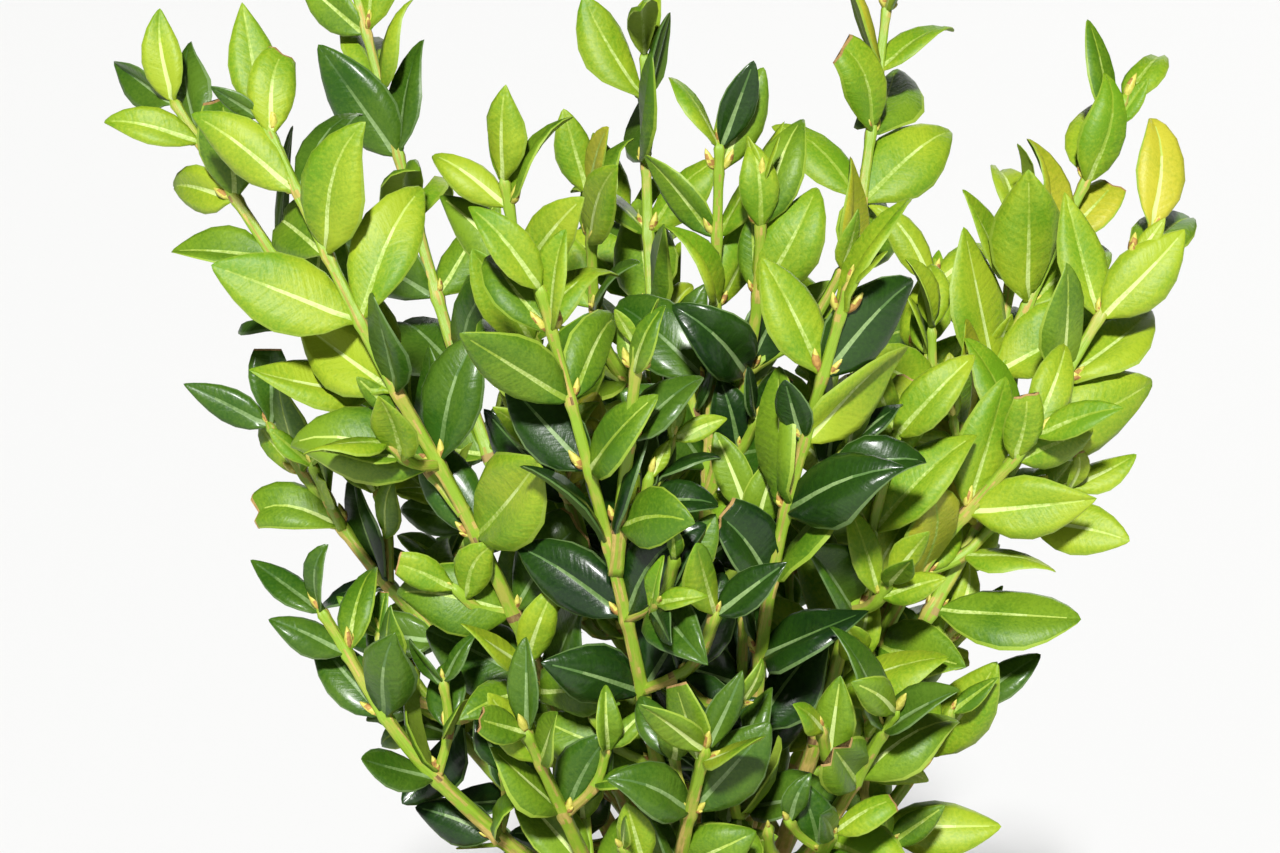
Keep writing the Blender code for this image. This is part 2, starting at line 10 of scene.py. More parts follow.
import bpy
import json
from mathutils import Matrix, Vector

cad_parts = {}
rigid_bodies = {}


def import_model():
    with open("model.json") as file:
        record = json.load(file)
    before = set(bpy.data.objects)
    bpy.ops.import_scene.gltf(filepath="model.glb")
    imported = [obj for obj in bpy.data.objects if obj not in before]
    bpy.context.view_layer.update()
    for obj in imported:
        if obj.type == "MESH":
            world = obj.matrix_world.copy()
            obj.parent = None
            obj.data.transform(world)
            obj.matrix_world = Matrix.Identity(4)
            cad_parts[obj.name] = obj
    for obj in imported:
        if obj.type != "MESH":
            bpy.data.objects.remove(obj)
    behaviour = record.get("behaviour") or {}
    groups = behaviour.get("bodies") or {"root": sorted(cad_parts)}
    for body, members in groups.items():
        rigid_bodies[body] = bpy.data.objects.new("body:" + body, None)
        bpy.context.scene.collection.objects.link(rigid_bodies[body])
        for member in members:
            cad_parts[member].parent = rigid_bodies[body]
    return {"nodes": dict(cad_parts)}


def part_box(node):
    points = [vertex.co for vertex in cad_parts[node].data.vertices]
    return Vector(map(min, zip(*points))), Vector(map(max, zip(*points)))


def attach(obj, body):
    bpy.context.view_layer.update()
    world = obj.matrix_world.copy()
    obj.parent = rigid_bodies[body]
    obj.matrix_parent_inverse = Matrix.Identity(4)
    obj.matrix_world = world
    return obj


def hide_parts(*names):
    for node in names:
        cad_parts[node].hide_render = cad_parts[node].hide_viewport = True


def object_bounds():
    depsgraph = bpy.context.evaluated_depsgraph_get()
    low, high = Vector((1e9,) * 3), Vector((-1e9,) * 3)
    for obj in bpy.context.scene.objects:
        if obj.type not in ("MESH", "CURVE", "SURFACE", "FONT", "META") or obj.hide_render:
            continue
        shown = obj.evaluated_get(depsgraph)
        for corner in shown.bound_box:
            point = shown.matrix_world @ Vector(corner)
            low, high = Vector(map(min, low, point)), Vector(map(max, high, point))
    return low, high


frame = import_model()
cad_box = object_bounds()
print("frame:", len(frame["nodes"]), "nodes,", [round(v, 4) for v in cad_box[1] - cad_box[0]], "m")

# %% Tools and units
import json
import math
import random
from collections import namedtuple
from itertools import product

import bmesh
import bpy
import numpy as np
from mathutils import Matrix, Quaternion, Vector, noise
from mathutils.bvhtree import BVHTree

MM = 0.001
GAP = 0.3 * MM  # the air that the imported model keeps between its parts
print("lengths are in metres, and a gap is", GAP, "m")

# %% [markdown]
# ## Colours and nodes
#
# Colours are written as the hex codes that a colour picker shows. Cycles works with linear light, and
# one function turns a code into that. A second helper adds a shader node and fills or links its inputs
# in one line, which keeps each material readable from top to bottom. Every finish here ends alike, with
# two near colours mixed by a pattern, so that ending is written once.

# %% Colour and node helpers


def srgb(code):
    """A hex colour from a colour picker, as the linear colour that Cycles works with."""
    parts = [int(code[i : i + 2], 16) / 255 for i in (1, 3, 5)]
    return (*(p / 12.92 if p <= 0.04045 else ((p + 0.055) / 1.055) ** 2.4 for p in parts), 1.0)


def add_node(tree, kind, inputs=None, **settings):
    """One shader node. Each input takes a value, or the output socket that feeds it."""
    made = tree.nodes.new("ShaderNode" + kind)
    for name, value in settings.items():
        setattr(made, name, value)
    for name, value in (inputs or {}).items():
        socket = made.inputs[name]
        if isinstance(value, bpy.types.NodeSocket):
            tree.links.new(value, socket)
        else:
            socket.default_value = value
    return made


def new_material(name):
    material = bpy.data.materials.new(name)
    material.use_nodes = True
    material.node_tree.nodes.clear()
    return material, material.node_tree


def finish(tree, colours, share, relief, gloss):
    """The first colour turns into the second where the share is high, under the relief and the gloss."""
    low, high = map(srgb, colours)
    mixed = add_node(tree, "Mix", {"Factor": share, "A": low, "B": high}, data_type="RGBA")
    skin = {"Base Color": mixed.outputs["Result"], "Normal": relief.outputs["Normal"], **gloss}
    surface = add_node(tree, "BsdfPrincipled", skin)
    add_node(tree, "OutputMaterial", {"Surface": surface.outputs["BSDF"]})


def per_metre(size_mm):
    """The scale of a noise whose blobs are about this many millimetres across."""
    return 1000 / (2 * size_mm)


print("a noise with blobs of 1 mm has the scale", per_metre(1))

# %% [markdown]
# ## The finish of the leaves
#
# A box leaf is leathery. Its thick cuticle is wax over green cells, so it has a clear gloss on old dark
# leaves and a softer sheen on young ones. Close up the cells show as a fine grain of about a third of a
# millimetre, and the side veins raise faint wrinkles less than a millimetre apart. The grain is a noise
# in the object's own coordinates, and so are the wide patches of two near greens. The wrinkles follow
# the blade, so they read the leaf's own map, which holds millimetres across and along the blade.

# %% Leaf materials
MAP_MM = 50.0  # millimetres of blade for the whole width of the leaf's map
WRINKLE_APART_MM = 0.75
WRINKLE_LONG_MM = 3.2
GRAIN_MM = 0.30
GRAIN_SHARE = 0.45  # how much the grain tells beside the patches
GRAIN_DEPTH_MM = 0.11
PATCH_MM = 9.0
GREEN_SPREAD = 0.24  # how far the noise swings from one green to the other
COATED_IOR, BARE_IOR = 1.28, 1.38
COAT_ROUGHNESS = 0.20


def waxy_leaf(name, light, dark, roughness, coat, wrinkle_mm, contrast=1.0):
    """A waxy cuticle over green cells: two near greens in patches and grain, over shallow side veins."""
    material, tree = new_material(name)
    place = add_node(tree, "TexCoord")
    here = {"Vector": place.outputs["Object"], "Detail": 2.0}
    grain = add_node(tree, "TexNoise", {**here, "Scale": per_metre(GRAIN_MM), "Roughness": 0.6})
    patches = add_node(tree, "TexNoise", {**here, "Scale": per_metre(PATCH_MM), "Roughness": 0.5})
    parts = {0: grain.outputs["Fac"], 1: GRAIN_SHARE, 2: patches.outputs["Fac"]}
    both = add_node(tree, "Math", parts, operation="MULTIPLY_ADD")
    middle, spread = 0.5 * (1 + GRAIN_SHARE), GREEN_SPREAD / contrast
    swing = {"From Min": middle - spread, "From Max": middle + spread}
    share = add_node(tree, "MapRange", {"Value": both.outputs[0], **swing})
    drawn_out = (MAP_MM / (2 * WRINKLE_LONG_MM), MAP_MM / (2 * WRINKLE_APART_MM), 1.0)
    blade = add_node(tree, "Mapping", {"Vector": place.outputs["UV"], "Scale": drawn_out})
    along = {"Vector": blade.outputs["Vector"], "Scale": 1.0, "Detail": 2.0, "Roughness": 0.5}
    wrinkles = add_node(tree, "TexNoise", along).outputs["Fac"]
    veins = add_node(tree, "Bump", {"Height": wrinkles, "Strength": 0.8, "Distance": wrinkle_mm * MM})
    fine = {"Height": grain.outputs["Fac"], "Strength": 0.6, "Distance": GRAIN_DEPTH_MM * MM}
    relief = add_node(tree, "Bump", {**fine, "Normal": veins.outputs["Normal"]})
    wax = {"IOR": COATED_IOR if coat else BARE_IOR, "Coat Weight": coat, "Coat Roughness": COAT_ROUGHNESS}
    finish(tree, (dark, light), share.outputs["Result"], relief, {"Roughness": roughness, **wax})
    return material


# Light and dark green, roughness, wax coat, depth of the wrinkles in mm, and contrast of the two greens.
LEAF_FINISHES = {
    "blade_bright": ("#8A9D20", "#5A810F", 0.52, 0.0, 0.22, 1.5),
    "blade_fresh": ("#68851A", "#40650C", 0.48, 0.0, 0.22, 1.5),
    "blade_deep": ("#48651A", "#26490C", 0.38, 0.16, 0.26, 1.3),
    "blade_mature": ("#223F0C", "#0E260A", 0.36, 0.42, 0.30, 1.3),
    "blade_golden": ("#A4A02A", "#7F8A18", 0.50, 0.0, 0.22, 1.5),
    # The pale undersides are partly the leaf's own paler back, and partly painted light: they are lighter
    # still, for the light that shines through the thin blade.
    "under_pale": ("#8CA236", "#748E24", 0.55, 0.0, 0.10),
    "under_mature": ("#4F6A1E", "#3A5414", 0.55, 0.0, 0.10),
    "rib_pale": ("#B4C478", "#7E982E", 0.60, 0.0, 0.05, 2.2),
    "rib_pale_tip": ("#A2B454", "#76901F", 0.55, 0.0, 0.05, 2.0),
    "rib_mature": ("#7E9660", "#4C6830", 0.45, 0.0, 0.05, 1.4),
    "rib_mature_tip": ("#56743E", "#345220", 0.40, 0.0, 0.05),
    # The margins are paler than the blades: partly the leaf's own pale rim, and partly a painted highlight
    # where the rolled edge catches the light.
    "margin_pale": ("#8EA43A", "#6E8A1E", 0.50, 0.0, 0.05),
    "margin_mature": ("#647C48", "#3E5A28", 0.45, 0.0, 0.05),
    "cut_edge": ("#AD9058", "#775830", 0.85, 0.0, 0.08),
}
LEAF_SLOTS = list(LEAF_FINISHES)
leaf_materials = [waxy_leaf("waxy_" + name, *looks) for name, looks in LEAF_FINISHES.items()]
print("leaf finishes:", ", ".join(LEAF_SLOTS))

# %% [markdown]
# ## The finish of stems and twigs
#
# Young box twigs are green and four-angled, with paler ridges that run down from each pair of leaves.
# Older limbs turn straw-coloured where the skin cracks into lengthwise corky strips. Both finishes read
# the tube's own map: across it goes once round the twig, and along it the map holds millimetres, so a
# noise that is stretched along the tube gives fibres that follow every bend.

# %% Stem materials
FIBRES_AROUND = 7.0  # fibres of 1 mm in the girth of a twig
FIBRE_STRETCH = 9
BLOTCH_MM = 3.0
STRIP_EDGE = (-0.08, 0.12)  # a strip fades in over this much of the noise


def fibrous_skin(name, green, straw, straw_share, fibre_mm, relief_mm, roughness):
    """Green twig skin with straw-coloured corky strips that run lengthwise."""
    material, tree = new_material(name)
    place = add_node(tree, "TexCoord")
    stretch = (FIBRES_AROUND / fibre_mm, MAP_MM / (FIBRE_STRETCH * fibre_mm), 1.0)
    girth = add_node(tree, "Mapping", {"Vector": place.outputs["UV"], "Scale": stretch})
    lengthwise = {"Vector": girth.outputs["Vector"], "Scale": 1.0, "Detail": 4.0, "Roughness": 0.65}
    fibres = add_node(tree, "TexNoise", lengthwise).outputs["Fac"]
    around = {"Vector": place.outputs["Object"], "Scale": per_metre(BLOTCH_MM)}
    blotches = add_node(tree, "TexNoise", {**around, "Detail": 3.0, "Roughness": 0.6}).outputs["Fac"]
    both = add_node(tree, "Math", {0: fibres, 1: blotches}, operation="ADD")
    edge = 1.0 - (straw_share - 0.5) * 0.6
    fade = {"From Min": edge + STRIP_EDGE[0], "From Max": edge + STRIP_EDGE[1]}
    strips = add_node(tree, "MapRange", {"Value": both.outputs[0], **fade})
    relief = add_node(tree, "Bump", {"Height": fibres, "Strength": 0.7, "Distance": relief_mm * MM})
    finish(tree, (green, straw), strips.outputs["Result"], relief, {"Roughness": roughness, "IOR": 1.45})
    return material


twig_skin = fibrous_skin("green_twig_skin", "#7C9A24", "#98993C", 0.38, 0.6, 0.30, 0.48)
cork_skin = fibrous_skin("straw_cork_skin", "#8E8A36", "#AE9850", 0.50, 0.6, 0.45, 0.75)
scar_skin = fibrous_skin("brown_cork_skin", "#93804A", "#6E5430", 0.50, 0.5, 0.45, 0.85)
stem_bark = fibrous_skin("old_corky_bark", "#6A6238", "#7C6844", 0.60, 1.0, 0.70, 0.85)
SKINS = [twig_skin, cork_skin, scar_skin]
print("stem finishes:", *[skin.name for skin in SKINS], stem_bark.name)

# %% [markdown]
# ## The plan of the shoots
#
# The table is the shrub's skeleton. Each row is one leafy shoot: the mass that it belongs to, what it
# grows from, where it leaves that parent, the points that it passes, its tip, how much of it is bare
# limb, the length of its leaves and their tone. Heights count from the soil. It could be drawn by hand
# as curves, but a table can be grown again with finer twigs, which is what the next steps do.

# %% Sizes and the table of shoots
POT_HEIGHT = 105 * MM
POT_RIM_RADIUS = 61 * MM
POT_BAND_HEIGHT = 22 * MM
POT_BAND_STEP = 3 * MM
POT_FOOT_RADIUS = 42 * MM
POT_WALL = 4.5 * MM
POT_FLOOR = 7 * MM
SOIL_LEVEL = 97 * MM
SOIL_FALL = 1.5 * MM
STEM_HEIGHT = 17 * MM
STEM_RADIUS = 6.4 * MM
STEM_LEAN = 1.5 * MM
LIMB_BASE_RADIUS = 2.0 * MM
LIMB_TIP_RADIUS = 1.35 * MM
SIDE_LIMB_BASE_RADIUS = 1.5 * MM
TWIG_BASE_RADIUS = 1.25 * MM
TWIG_TIP_RADIUS = 0.75 * MM
INTERNODE = 18 * MM
TIP_INTERNODE = 10 * MM
FOOT_RING = 2 * MM
TIP_NODE = 1.2 * MM
LEAF_WIDTH = 0.54
LEAF_THICKNESS = 0.032
LEAF_ROOT = 0.25 * MM
PAIR_TURN = 34
TWIG_CHANCE = 0.35
TWIG_LENGTH = 24 * MM

Shoot = namedtuple("Shoot", "mass parent leaves_at through tip bare leaf tone")
# In the last column, the tones of the right-hand shoots paint light and those of the left-hand shoots paint
# shade.
ROWS_OF_SHOOTS = (
    ("centre", "stem", 0, ((0, -1, 62), (2, -9, 115)), (3, -15, 158), 0.42, 25, "mature"),
    ("centre", "centre", 0.56, ((9, -15, 125),), (10, -23, 152), 0, 24, "golden"),
    ("left_tall", "stem", 0, ((-9, 0, 16), (-37, -32, 88), (-56, -40, 126)), (-75, -30, 164), 0.32, 27,
     "body_shade_painted"),
    ("left_tall", "left_tall", 0.58, ((-69, -20, 131),), (-93, -6, 165), 0, 25, "body_shade_painted"),
    ("left_low", "stem", 0, ((-8, -5, 9), (-47, -28, 49)), (-66, -31, 79), 0.42, 21, "shade_painted"),
    ("front", "stem", 0, ((-1, -9, 14), (-14, -50, 85)), (-27, -63, 138), 0.32, 26, "mature"),
    ("front", "front", 0.66, (), (-11, -70, 130), 0, 19, "mature"),
    ("front_right", "stem", 0, ((6, -8, 12), (11, -42, 84)), (23, -59, 138), 0.25, 27, "mature"),
    ("right_tall", "stem", 0, ((9, -1, 15), (43, 4, 92), (62, 8, 133)), (77, 11, 165), 0.28, 27, "light_painted"),
    ("right_tall", "right_tall", 0.56, ((55, 12, 122),), (58, 14, 142), 0, 26, "golden"),
    ("back_left", "stem", 0, ((-6, 7, 18), (-42, 27, 105)), (-66, 44, 188), 0.38, 27, "body_shade_painted"),
    ("back_right", "stem", 0, ((6, 7, 15), (28, 40, 122)), (38, 55, 190), 0.40, 27, "light_painted"),
    ("rear_centre", "stem", 0, ((-1, 9, 13), (-6, 46, 88)), (-14, 72, 138), 0.34, 26, "fresh"),
    ("left_mid", "left_tall", 0.24, ((-43, 6, 61), (-62, 18, 79)), (-80, 21, 104), 0.16, 24, "shade_painted"),
    ("centre_left", "centre", 0.30, ((-16, -10, 72), (-27, -22, 115)), (-34, -29, 153), 0.22, 25, "golden"),
    ("back_centre", "centre", 0.20, ((-5, 17, 80), (-9, 31, 132)), (-10, 36, 172), 0.34, 26, "fresh"),
    ("back_centre", "back_centre", 0.50, ((-18, 20, 120),), (-20, 8, 148), 0, 24, "fresh"),
    ("right_outer", "right_tall", 0.20, ((34, -10, 62), (62, -8, 112)), (80, -4, 142), 0.30, 28, "light_painted"),
    ("right_inner", "right_tall", 0.15, ((22, -20, 60),), (33, -32, 110), 0.34, 26, "light_painted"),
    ("right_back", "back_right", 0.24, ((29, 20, 78),), (44, 27, 130), 0.26, 25, "light_painted"),
    ("right_low", "right_tall", 0.08, ((26, -2, 26),), (48, -4, 56), 0.34, 24, "light_painted"),
    ("front_right_low", "front_right", 0.12, ((20, -31, 38),), (32, -52, 66), 0.36, 24, "fresh"),
    ("front_low", "front", 0.12, ((-4, -40, 36),), (0, -62, 62), 0.36, 22, "fresh"),
    ("front_left_low", "left_low", 0.20, ((-19, -27, 30),), (-30, -50, 62), 0.26, 22, "shade_painted"),
    ("left_side_low", "left_tall", 0.13, ((-32, 9, 34),), (-56, 14, 60), 0.28, 22, "shade_painted"),
    ("right_mid", "right_tall", 0.25, ((37, -15, 80),), (58, -22, 108), 0.24, 26, "light_painted"),
    ("centre_low", "centre", 0.13, ((6, -14, 46),), (7, -33, 78), 0.30, 22, "mature"),
    ("rear_left", "back_left", 0.14, ((-34, 34, 56),), (-56, 60, 98), 0.24, 25, "fresh"),
    ("rear_right", "back_right", 0.14, ((30, 34, 56),), (54, 58, 102), 0.26, 25, "mature"),
    ("rear_low", "rear_centre", 0.14, ((6, 44, 36),), (10, 72, 68), 0.28, 22, "mature"),
)
SHOOTS = [Shoot(*row) for row in ROWS_OF_SHOOTS]
masses = list(dict.fromkeys(shoot.mass for shoot in SHOOTS))
print(len(SHOOTS), "shoots in", len(masses), "masses")

# %% [markdown]
# ## Routes
#
# A shoot bends smoothly from its parent to its tip. A Catmull-Rom curve passes through every point that
# it is given, which suits a stem that is known by a few places. `walk` gives the place and direction at
# a distance along it, so that leaves can be spaced in millimetres.

# %% Routes
FORK_HEIGHT = 0.62  # of the stem


def at_foot(point):
    return Vector(point) * MM + Vector((0, 0, SOIL_LEVEL))


def smooth_route(points, steps=12):
    """A Catmull-Rom curve through the points, sampled evenly in each stretch."""
    padded = [2 * points[0] - points[1], *points, 2 * points[-1] - points[-2]]
    route = []
    for a, b, c, d in zip(padded, padded[1:], padded[2:], padded[3:]):
        for step in range(steps):
            t = step / steps
            place = 2 * b + (c - a) * t + (2 * a - 5 * b + 4 * c - d) * t**2 + (3 * b - a - 3 * c + d) * t**3
            route.append(0.5 * place)
    route.append(points[-1].copy())
    return route


def route_length(route):
    return sum((b - a).length for a, b in zip(route, route[1:]))


def walk(route, distance):
    """The place at a distance along the route, and the direction there."""
    for a, b in zip(route, route[1:]):
        stretch = (b - a).length
        if distance <= stretch:
            return a.lerp(b, distance / stretch), (b - a).normalized()
        distance -= stretch
    return route[-1].copy(), (route[-1] - route[-2]).normalized()


def plan_routes():
    first, routes = {}, []
    for shoot in SHOOTS:
        if shoot.parent == "stem":
            start = Vector((STEM_LEAN * 0.5, 0, SOIL_LEVEL + STEM_HEIGHT * FORK_HEIGHT))
        else:
            parent = first[shoot.parent]
            start = walk(parent, shoot.leaves_at * route_length(parent))[0]
        route = smooth_route([start, *map(at_foot, shoot.through), at_foot(shoot.tip)])
        first.setdefault(shoot.mass, route)
        routes.append(route)
    return routes


routes = plan_routes()
print("longest shoot:", round(max(map(route_length, routes)) / MM), "mm")

# %% [markdown]
# ## Keeping leaves out of each other
#
# Real leaves push each other aside. Here each new leaf or twig is tried against everything that is
# already placed, as a simple double pyramid inside a bounding volume tree, and it is turned, shrunk or
# left out where it would cut into a neighbour. A physics simulation could do the same, but this test
# gives the same answer on every run.

# %% The space test
Leaf = namedtuple("Leaf", "root along across face length")
Twig = namedtuple("Twig", "mass route start end radius leaf")
Tree = namedtuple("Tree", "faces centre reach")
LEAF_OUTLINE = ((0.0, 0.0), (0.46, -1.0), (0.98, -0.42), (0.98, 0.42), (0.46, 1.0))
ABOVE, BELOW = 5, 6  # the roles of the two points over and under the outline
LEAF_MIDDLE = 0.30
LEAF_FOLD, LEAF_DROOP = 0.10, 0.06


def taken_apart(bm):
    """The points and the faces of a blank, which are then copied and bent as arrays."""
    points = np.array([tuple(v.co) for v in bm.verts])
    faces = [tuple(v.index for v in face.verts) for face in bm.faces]
    bm.free()
    return points, faces


def leaf_template():
    """A five-sided double pyramid, and each vertex's place in a leaf's outline."""
    bm = bmesh.new()
    bmesh.ops.create_uvsphere(bm, u_segments=5, v_segments=2, radius=1)
    roles = []
    for vert in bm.verts:
        if abs(vert.co.z) > 0.5:
            roles.append(ABOVE if vert.co.z > 0 else BELOW)
        else:
            turn = math.atan2(vert.co.y, vert.co.x) % math.tau
            roles.append(round(turn / (math.tau / 5)) % 5)
    return roles, taken_apart(bm)[1]


def leaf_points(leaf, roles, grow=0.0):
    half = leaf.length * LEAF_WIDTH / 2
    places = []
    for role in roles:
        if role < ABOVE:
            share, side = LEAF_OUTLINE[role]
            along = share * leaf.length + (grow if share > 0.5 else 0)
            across = side * half + math.copysign(grow, side) * (side != 0)
            lift = LEAF_FOLD * abs(side) * half - LEAF_DROOP * leaf.length * share**2
        else:
            along = LEAF_MIDDLE * leaf.length
            across = 0.0
            lift = (1 if role == ABOVE else -1) * (LEAF_THICKNESS / 2 * leaf.length + grow)
        places.append(leaf.root + leaf.along * along + leaf.across * across + leaf.face * lift)
    return places


def ball_tree(points, faces):
    """A shape's faces for overlap tests, with the ball round them that rules most tests out."""
    centre = sum(points, Vector()) / len(points)
    reach = max((p - centre).length for p in points)
    return Tree(BVHTree.FromPolygons(points, faces), centre, reach)


def mesh_tree(mesh):
    return ball_tree([v.co.copy() for v in mesh.vertices], [tuple(p.vertices) for p in mesh.polygons])


def meet(tree, other):
    if (other.centre - tree.centre).length > other.reach + tree.reach:
        return False
    return bool(tree.faces.overlap(other.faces))


class Space:
    """What has been placed. A leaf counts whole for other masses, and by its blade for its own."""

    def __init__(self):
        self.taken = []
        self.own = {}

    def add(self, owner, whole, blade=None):
        self.taken.append((owner, whole))
        self.own.setdefault(owner, []).append(blade or whole)

    def is_free(self, owner, whole, blade=None, root=""):
        if any(name not in (owner, root) and meet(whole, other) for name, other in self.taken):
            return False
        return blade is None or not any(meet(blade, other) for other in self.own.get(owner, ()))


space = Space()
for name, node in frame["nodes"].items():
    if name == "stem" or name.endswith("_limb"):
        space.add(name, mesh_tree(node.data))
template = leaf_template()
print("placed before the leaves:", len(space.taken), "stem and limbs")

# %% [markdown]
# ## Twigs and pairs of leaves
#
# The growing rule is botany in a few lines. Pairs of leaves sit opposite each other, each pair turned
# against the last. They stand wide at the foot of a shoot and close up to its tip, and the blades turn
# to the light. Short side twigs come from some of the axils. The thin square tube here is only for the
# space test: the twig that shows is made later.

# %% The growing rule
FOOT_SPREAD, TIP_SPREAD_LESS = 50, 26  # degrees between a leaf and its twig
TRIES = ((0, 1.0), (22, 1.0), (-22, 1.0), (0, 0.8), (40, 0.85), (-40, 0.85), (0, 0.62))  # turn and size
BLADE_FROM = 0.16  # the share of a leaf at its root that may touch its own twig
LEAF_CLEARANCE = 1.5 * MM  # over the pot's rim
TWIG_CLEARANCE = 8 * MM
OUTWARDS, TO_FRONT, UPWARDS = 0.7, 0.75, 0.55


def new_object(name, data):
    made = bpy.data.objects.new(name, data)
    bpy.context.scene.collection.objects.link(made)
    return made


def plain_tube(points, radii):
    """A thin square tube for the space test."""
    curve = bpy.data.curves.new("test_twig", "CURVE")
    curve.dimensions = "3D"
    curve.twist_mode = "MINIMUM"
    curve.bevel_depth = 1.0
    curve.bevel_resolution = 0
    curve.use_fill_caps = True
    spline = curve.splines.new("POLY")
    spline.points.add(len(points) - 1)
    for place, point, radius in zip(spline.points, points, radii):
        place.co = (*point, 1)
        place.radius = radius
    holder = new_object("test_twig", curve)
    graph = bpy.context.evaluated_depsgraph_get()
    mesh = bpy.data.meshes.new_from_object(holder.evaluated_get(graph))
    bpy.data.objects.remove(holder)
    bpy.data.curves.remove(curve)
    tree = mesh_tree(mesh)
    bpy.data.meshes.remove(mesh)
    return tree


def node_distances(start, end):
    """Distances of the leaf pairs along a shoot: they draw together towards its tip."""
    places = []
    here = start + INTERNODE * 0.5
    while here < end - 0.4 * TIP_INTERNODE:
        places.append(here)
        share = (here - start) / max(end - start, 1e-6)
        here += INTERNODE + (TIP_INTERNODE - INTERNODE) * share
    places.append(end - TIP_NODE)
    return places


def twig_tree(twig):
    foot = (twig.start, twig.start + FOOT_RING)
    distances = [*foot, *node_distances(twig.start, twig.end)[:-1], twig.end]
    points = [walk(twig.route, distance)[0] for distance in distances]
    last = len(points) - 1
    radii = [twig.radius + (TWIG_TIP_RADIUS - twig.radius) * i / last for i in range(len(points))]
    return plain_tube(points, radii)


def light_at(place):
    """The way that blades turn: outwards, up, and towards -Y, where the shrub's light came from."""
    out = Vector((place.x, place.y, 0))
    out = out.normalized() if out.length > 1e-6 else Vector((0, -1, 0))
    return Vector((OUTWARDS * out.x, OUTWARDS * out.y - TO_FRONT, UPWARDS)).normalized()


def make_leaf(place, tangent, side, angle, light, length, twist):
    along = (tangent * math.cos(angle) + side * math.sin(angle)).normalized()
    to_tip = tangent - along * tangent.dot(along)
    to_light = light - along * light.dot(along)
    face = (to_tip.normalized() * 0.3 + to_light.normalized() * 0.7).normalized()
    face = Quaternion(along, twist) @ face
    return Leaf(place + side * LEAF_ROOT, along, face.cross(along).normalized(), face, length)


def reaches(box, point):
    low, high = box
    return all(low[i] <= point[i] <= high[i] for i in range(3))


def grow_pair(owner, place, tangent, turn, share, length, rng, inside=None):
    """The leaves of one pair that find room, each tried at a few angles and sizes."""
    roles, faces = template
    light = light_at(place)
    side = tangent.cross(light).normalized()
    side = Quaternion(tangent, math.radians(turn + rng.uniform(-20, 20))) @ side
    spread = math.radians(FOOT_SPREAD - TIP_SPREAD_LESS * share)
    found = []
    for way in (1, -1):
        size = length * rng.uniform(0.82, 1.1)
        lean = spread + math.radians(rng.uniform(-16, 16))
        twist = math.radians(rng.uniform(-30, 30))
        for shift, shrink in TRIES:
            turned_side = Quaternion(tangent, math.radians(shift)) @ (side * way)
            leaf = make_leaf(place, tangent, turned_side, lean, light, size * shrink, twist)
            points = leaf_points(leaf, roles, GAP * 1.15)
            if min(p.z for p in points) < POT_HEIGHT + LEAF_CLEARANCE:
                continue
            if inside and not all(reaches(inside, p) for p in points):
                continue
            blade_root = points[roles.index(0)] + leaf.along * (BLADE_FROM * leaf.length)
            blade = [blade_root if role == 0 else point for role, point in zip(roles, points)]
            whole, beyond_root = ball_tree(points, faces), ball_tree(blade, faces)
            if space.is_free(owner, whole, beyond_root):
                space.add(owner, whole, beyond_root)
                found.append(leaf)
                break
    return found


def leaf_size(share):
    return 0.86 + 0.5 * share - 0.62 * share**2


def side_twig_route(place, tangent, side, length):
    bend = place + (tangent * 0.6 + side * 0.8).normalized() * length * 0.5
    tip = bend + (tangent * 0.8 + side * 0.5 + Vector((0, 0, 0.25))).normalized() * length * 0.5
    return smooth_route([place, bend, tip], steps=4)


def main_twigs():
    twigs = []
    for shoot, route in zip(SHOOTS, routes):
        length = route_length(route)
        start = shoot.bare * length + (GAP if shoot.bare else 0)
        twig = Twig(shoot.mass, route, start, length, TWIG_BASE_RADIUS, shoot.leaf * MM)
        twigs.append(twig)
        space.add(shoot.mass, twig_tree(twig))
    return twigs


def branch_off(parents, seed, last_share, chance, length, thin, leaf, inside=None):
    """Side twigs from the axils of their parents, where there is room for them."""
    twigs = []
    for number, parent in enumerate(parents):
        rng = random.Random(seed + number)
        for distance in node_distances(parent.start, parent.end):
            share = (distance - parent.start) / (parent.end - parent.start)
            if share > last_share or rng.random() > chance:
                continue
            place, tangent = walk(parent.route, distance)
            if inside and place.z > SOIL_LEVEL + FINE_BELOW:
                continue
            side = Quaternion(tangent, rng.uniform(0, math.tau)) @ tangent.orthogonal().normalized()
            route = side_twig_route(place, tangent, side, length * rng.uniform(0.75, 1.15))
            if inside and not all(reaches(inside[parent.mass], p) for p in route):
                continue
            if min(point.z for point in route) <= POT_HEIGHT + TWIG_CLEARANCE:
                continue
            twig = Twig(parent.mass, route, 0, route_length(route), parent.radius * thin, parent.leaf * leaf)
            tree = twig_tree(twig)
            if space.is_free(parent.mass, tree, root=parent.mass + "_limb"):
                space.add(parent.mass, tree)
                twigs.append(twig)
    return twigs


# %% Grow the shoots of the frame
Placed = namedtuple("Placed", "leaf mass share rank")


def grow_leaves(twigs, rank, seed, inside=None):
    """Every leaf that the twigs carry, with where along its twig it stands."""
    placed = []
    for number, twig in enumerate(twigs):
        rng = random.Random(seed + number)
        for index, distance in enumerate(node_distances(twig.start, twig.end)):
            share = (distance - twig.start) / (twig.end - twig.start)
            place, tangent = walk(twig.route, distance)
            turn = PAIR_TURN if index % 2 else -PAIR_TURN
            size = twig.leaf * leaf_size(share)
            box = inside[twig.mass] if inside else None
            for leaf in grow_pair(twig.mass, place, tangent, turn, share, size, rng, box):
                placed.append(Placed(leaf, twig.mass, share, rank))
    return placed


shoots = main_twigs()
side_shoots = branch_off(shoots, 100, 0.42, TWIG_CHANCE, TWIG_LENGTH, 0.8, 0.78)
leaves = grow_leaves(shoots + side_shoots, 0, 0)
print(len(shoots), "shoots,", len(side_shoots), "side twigs,", len(leaves), "leaves")

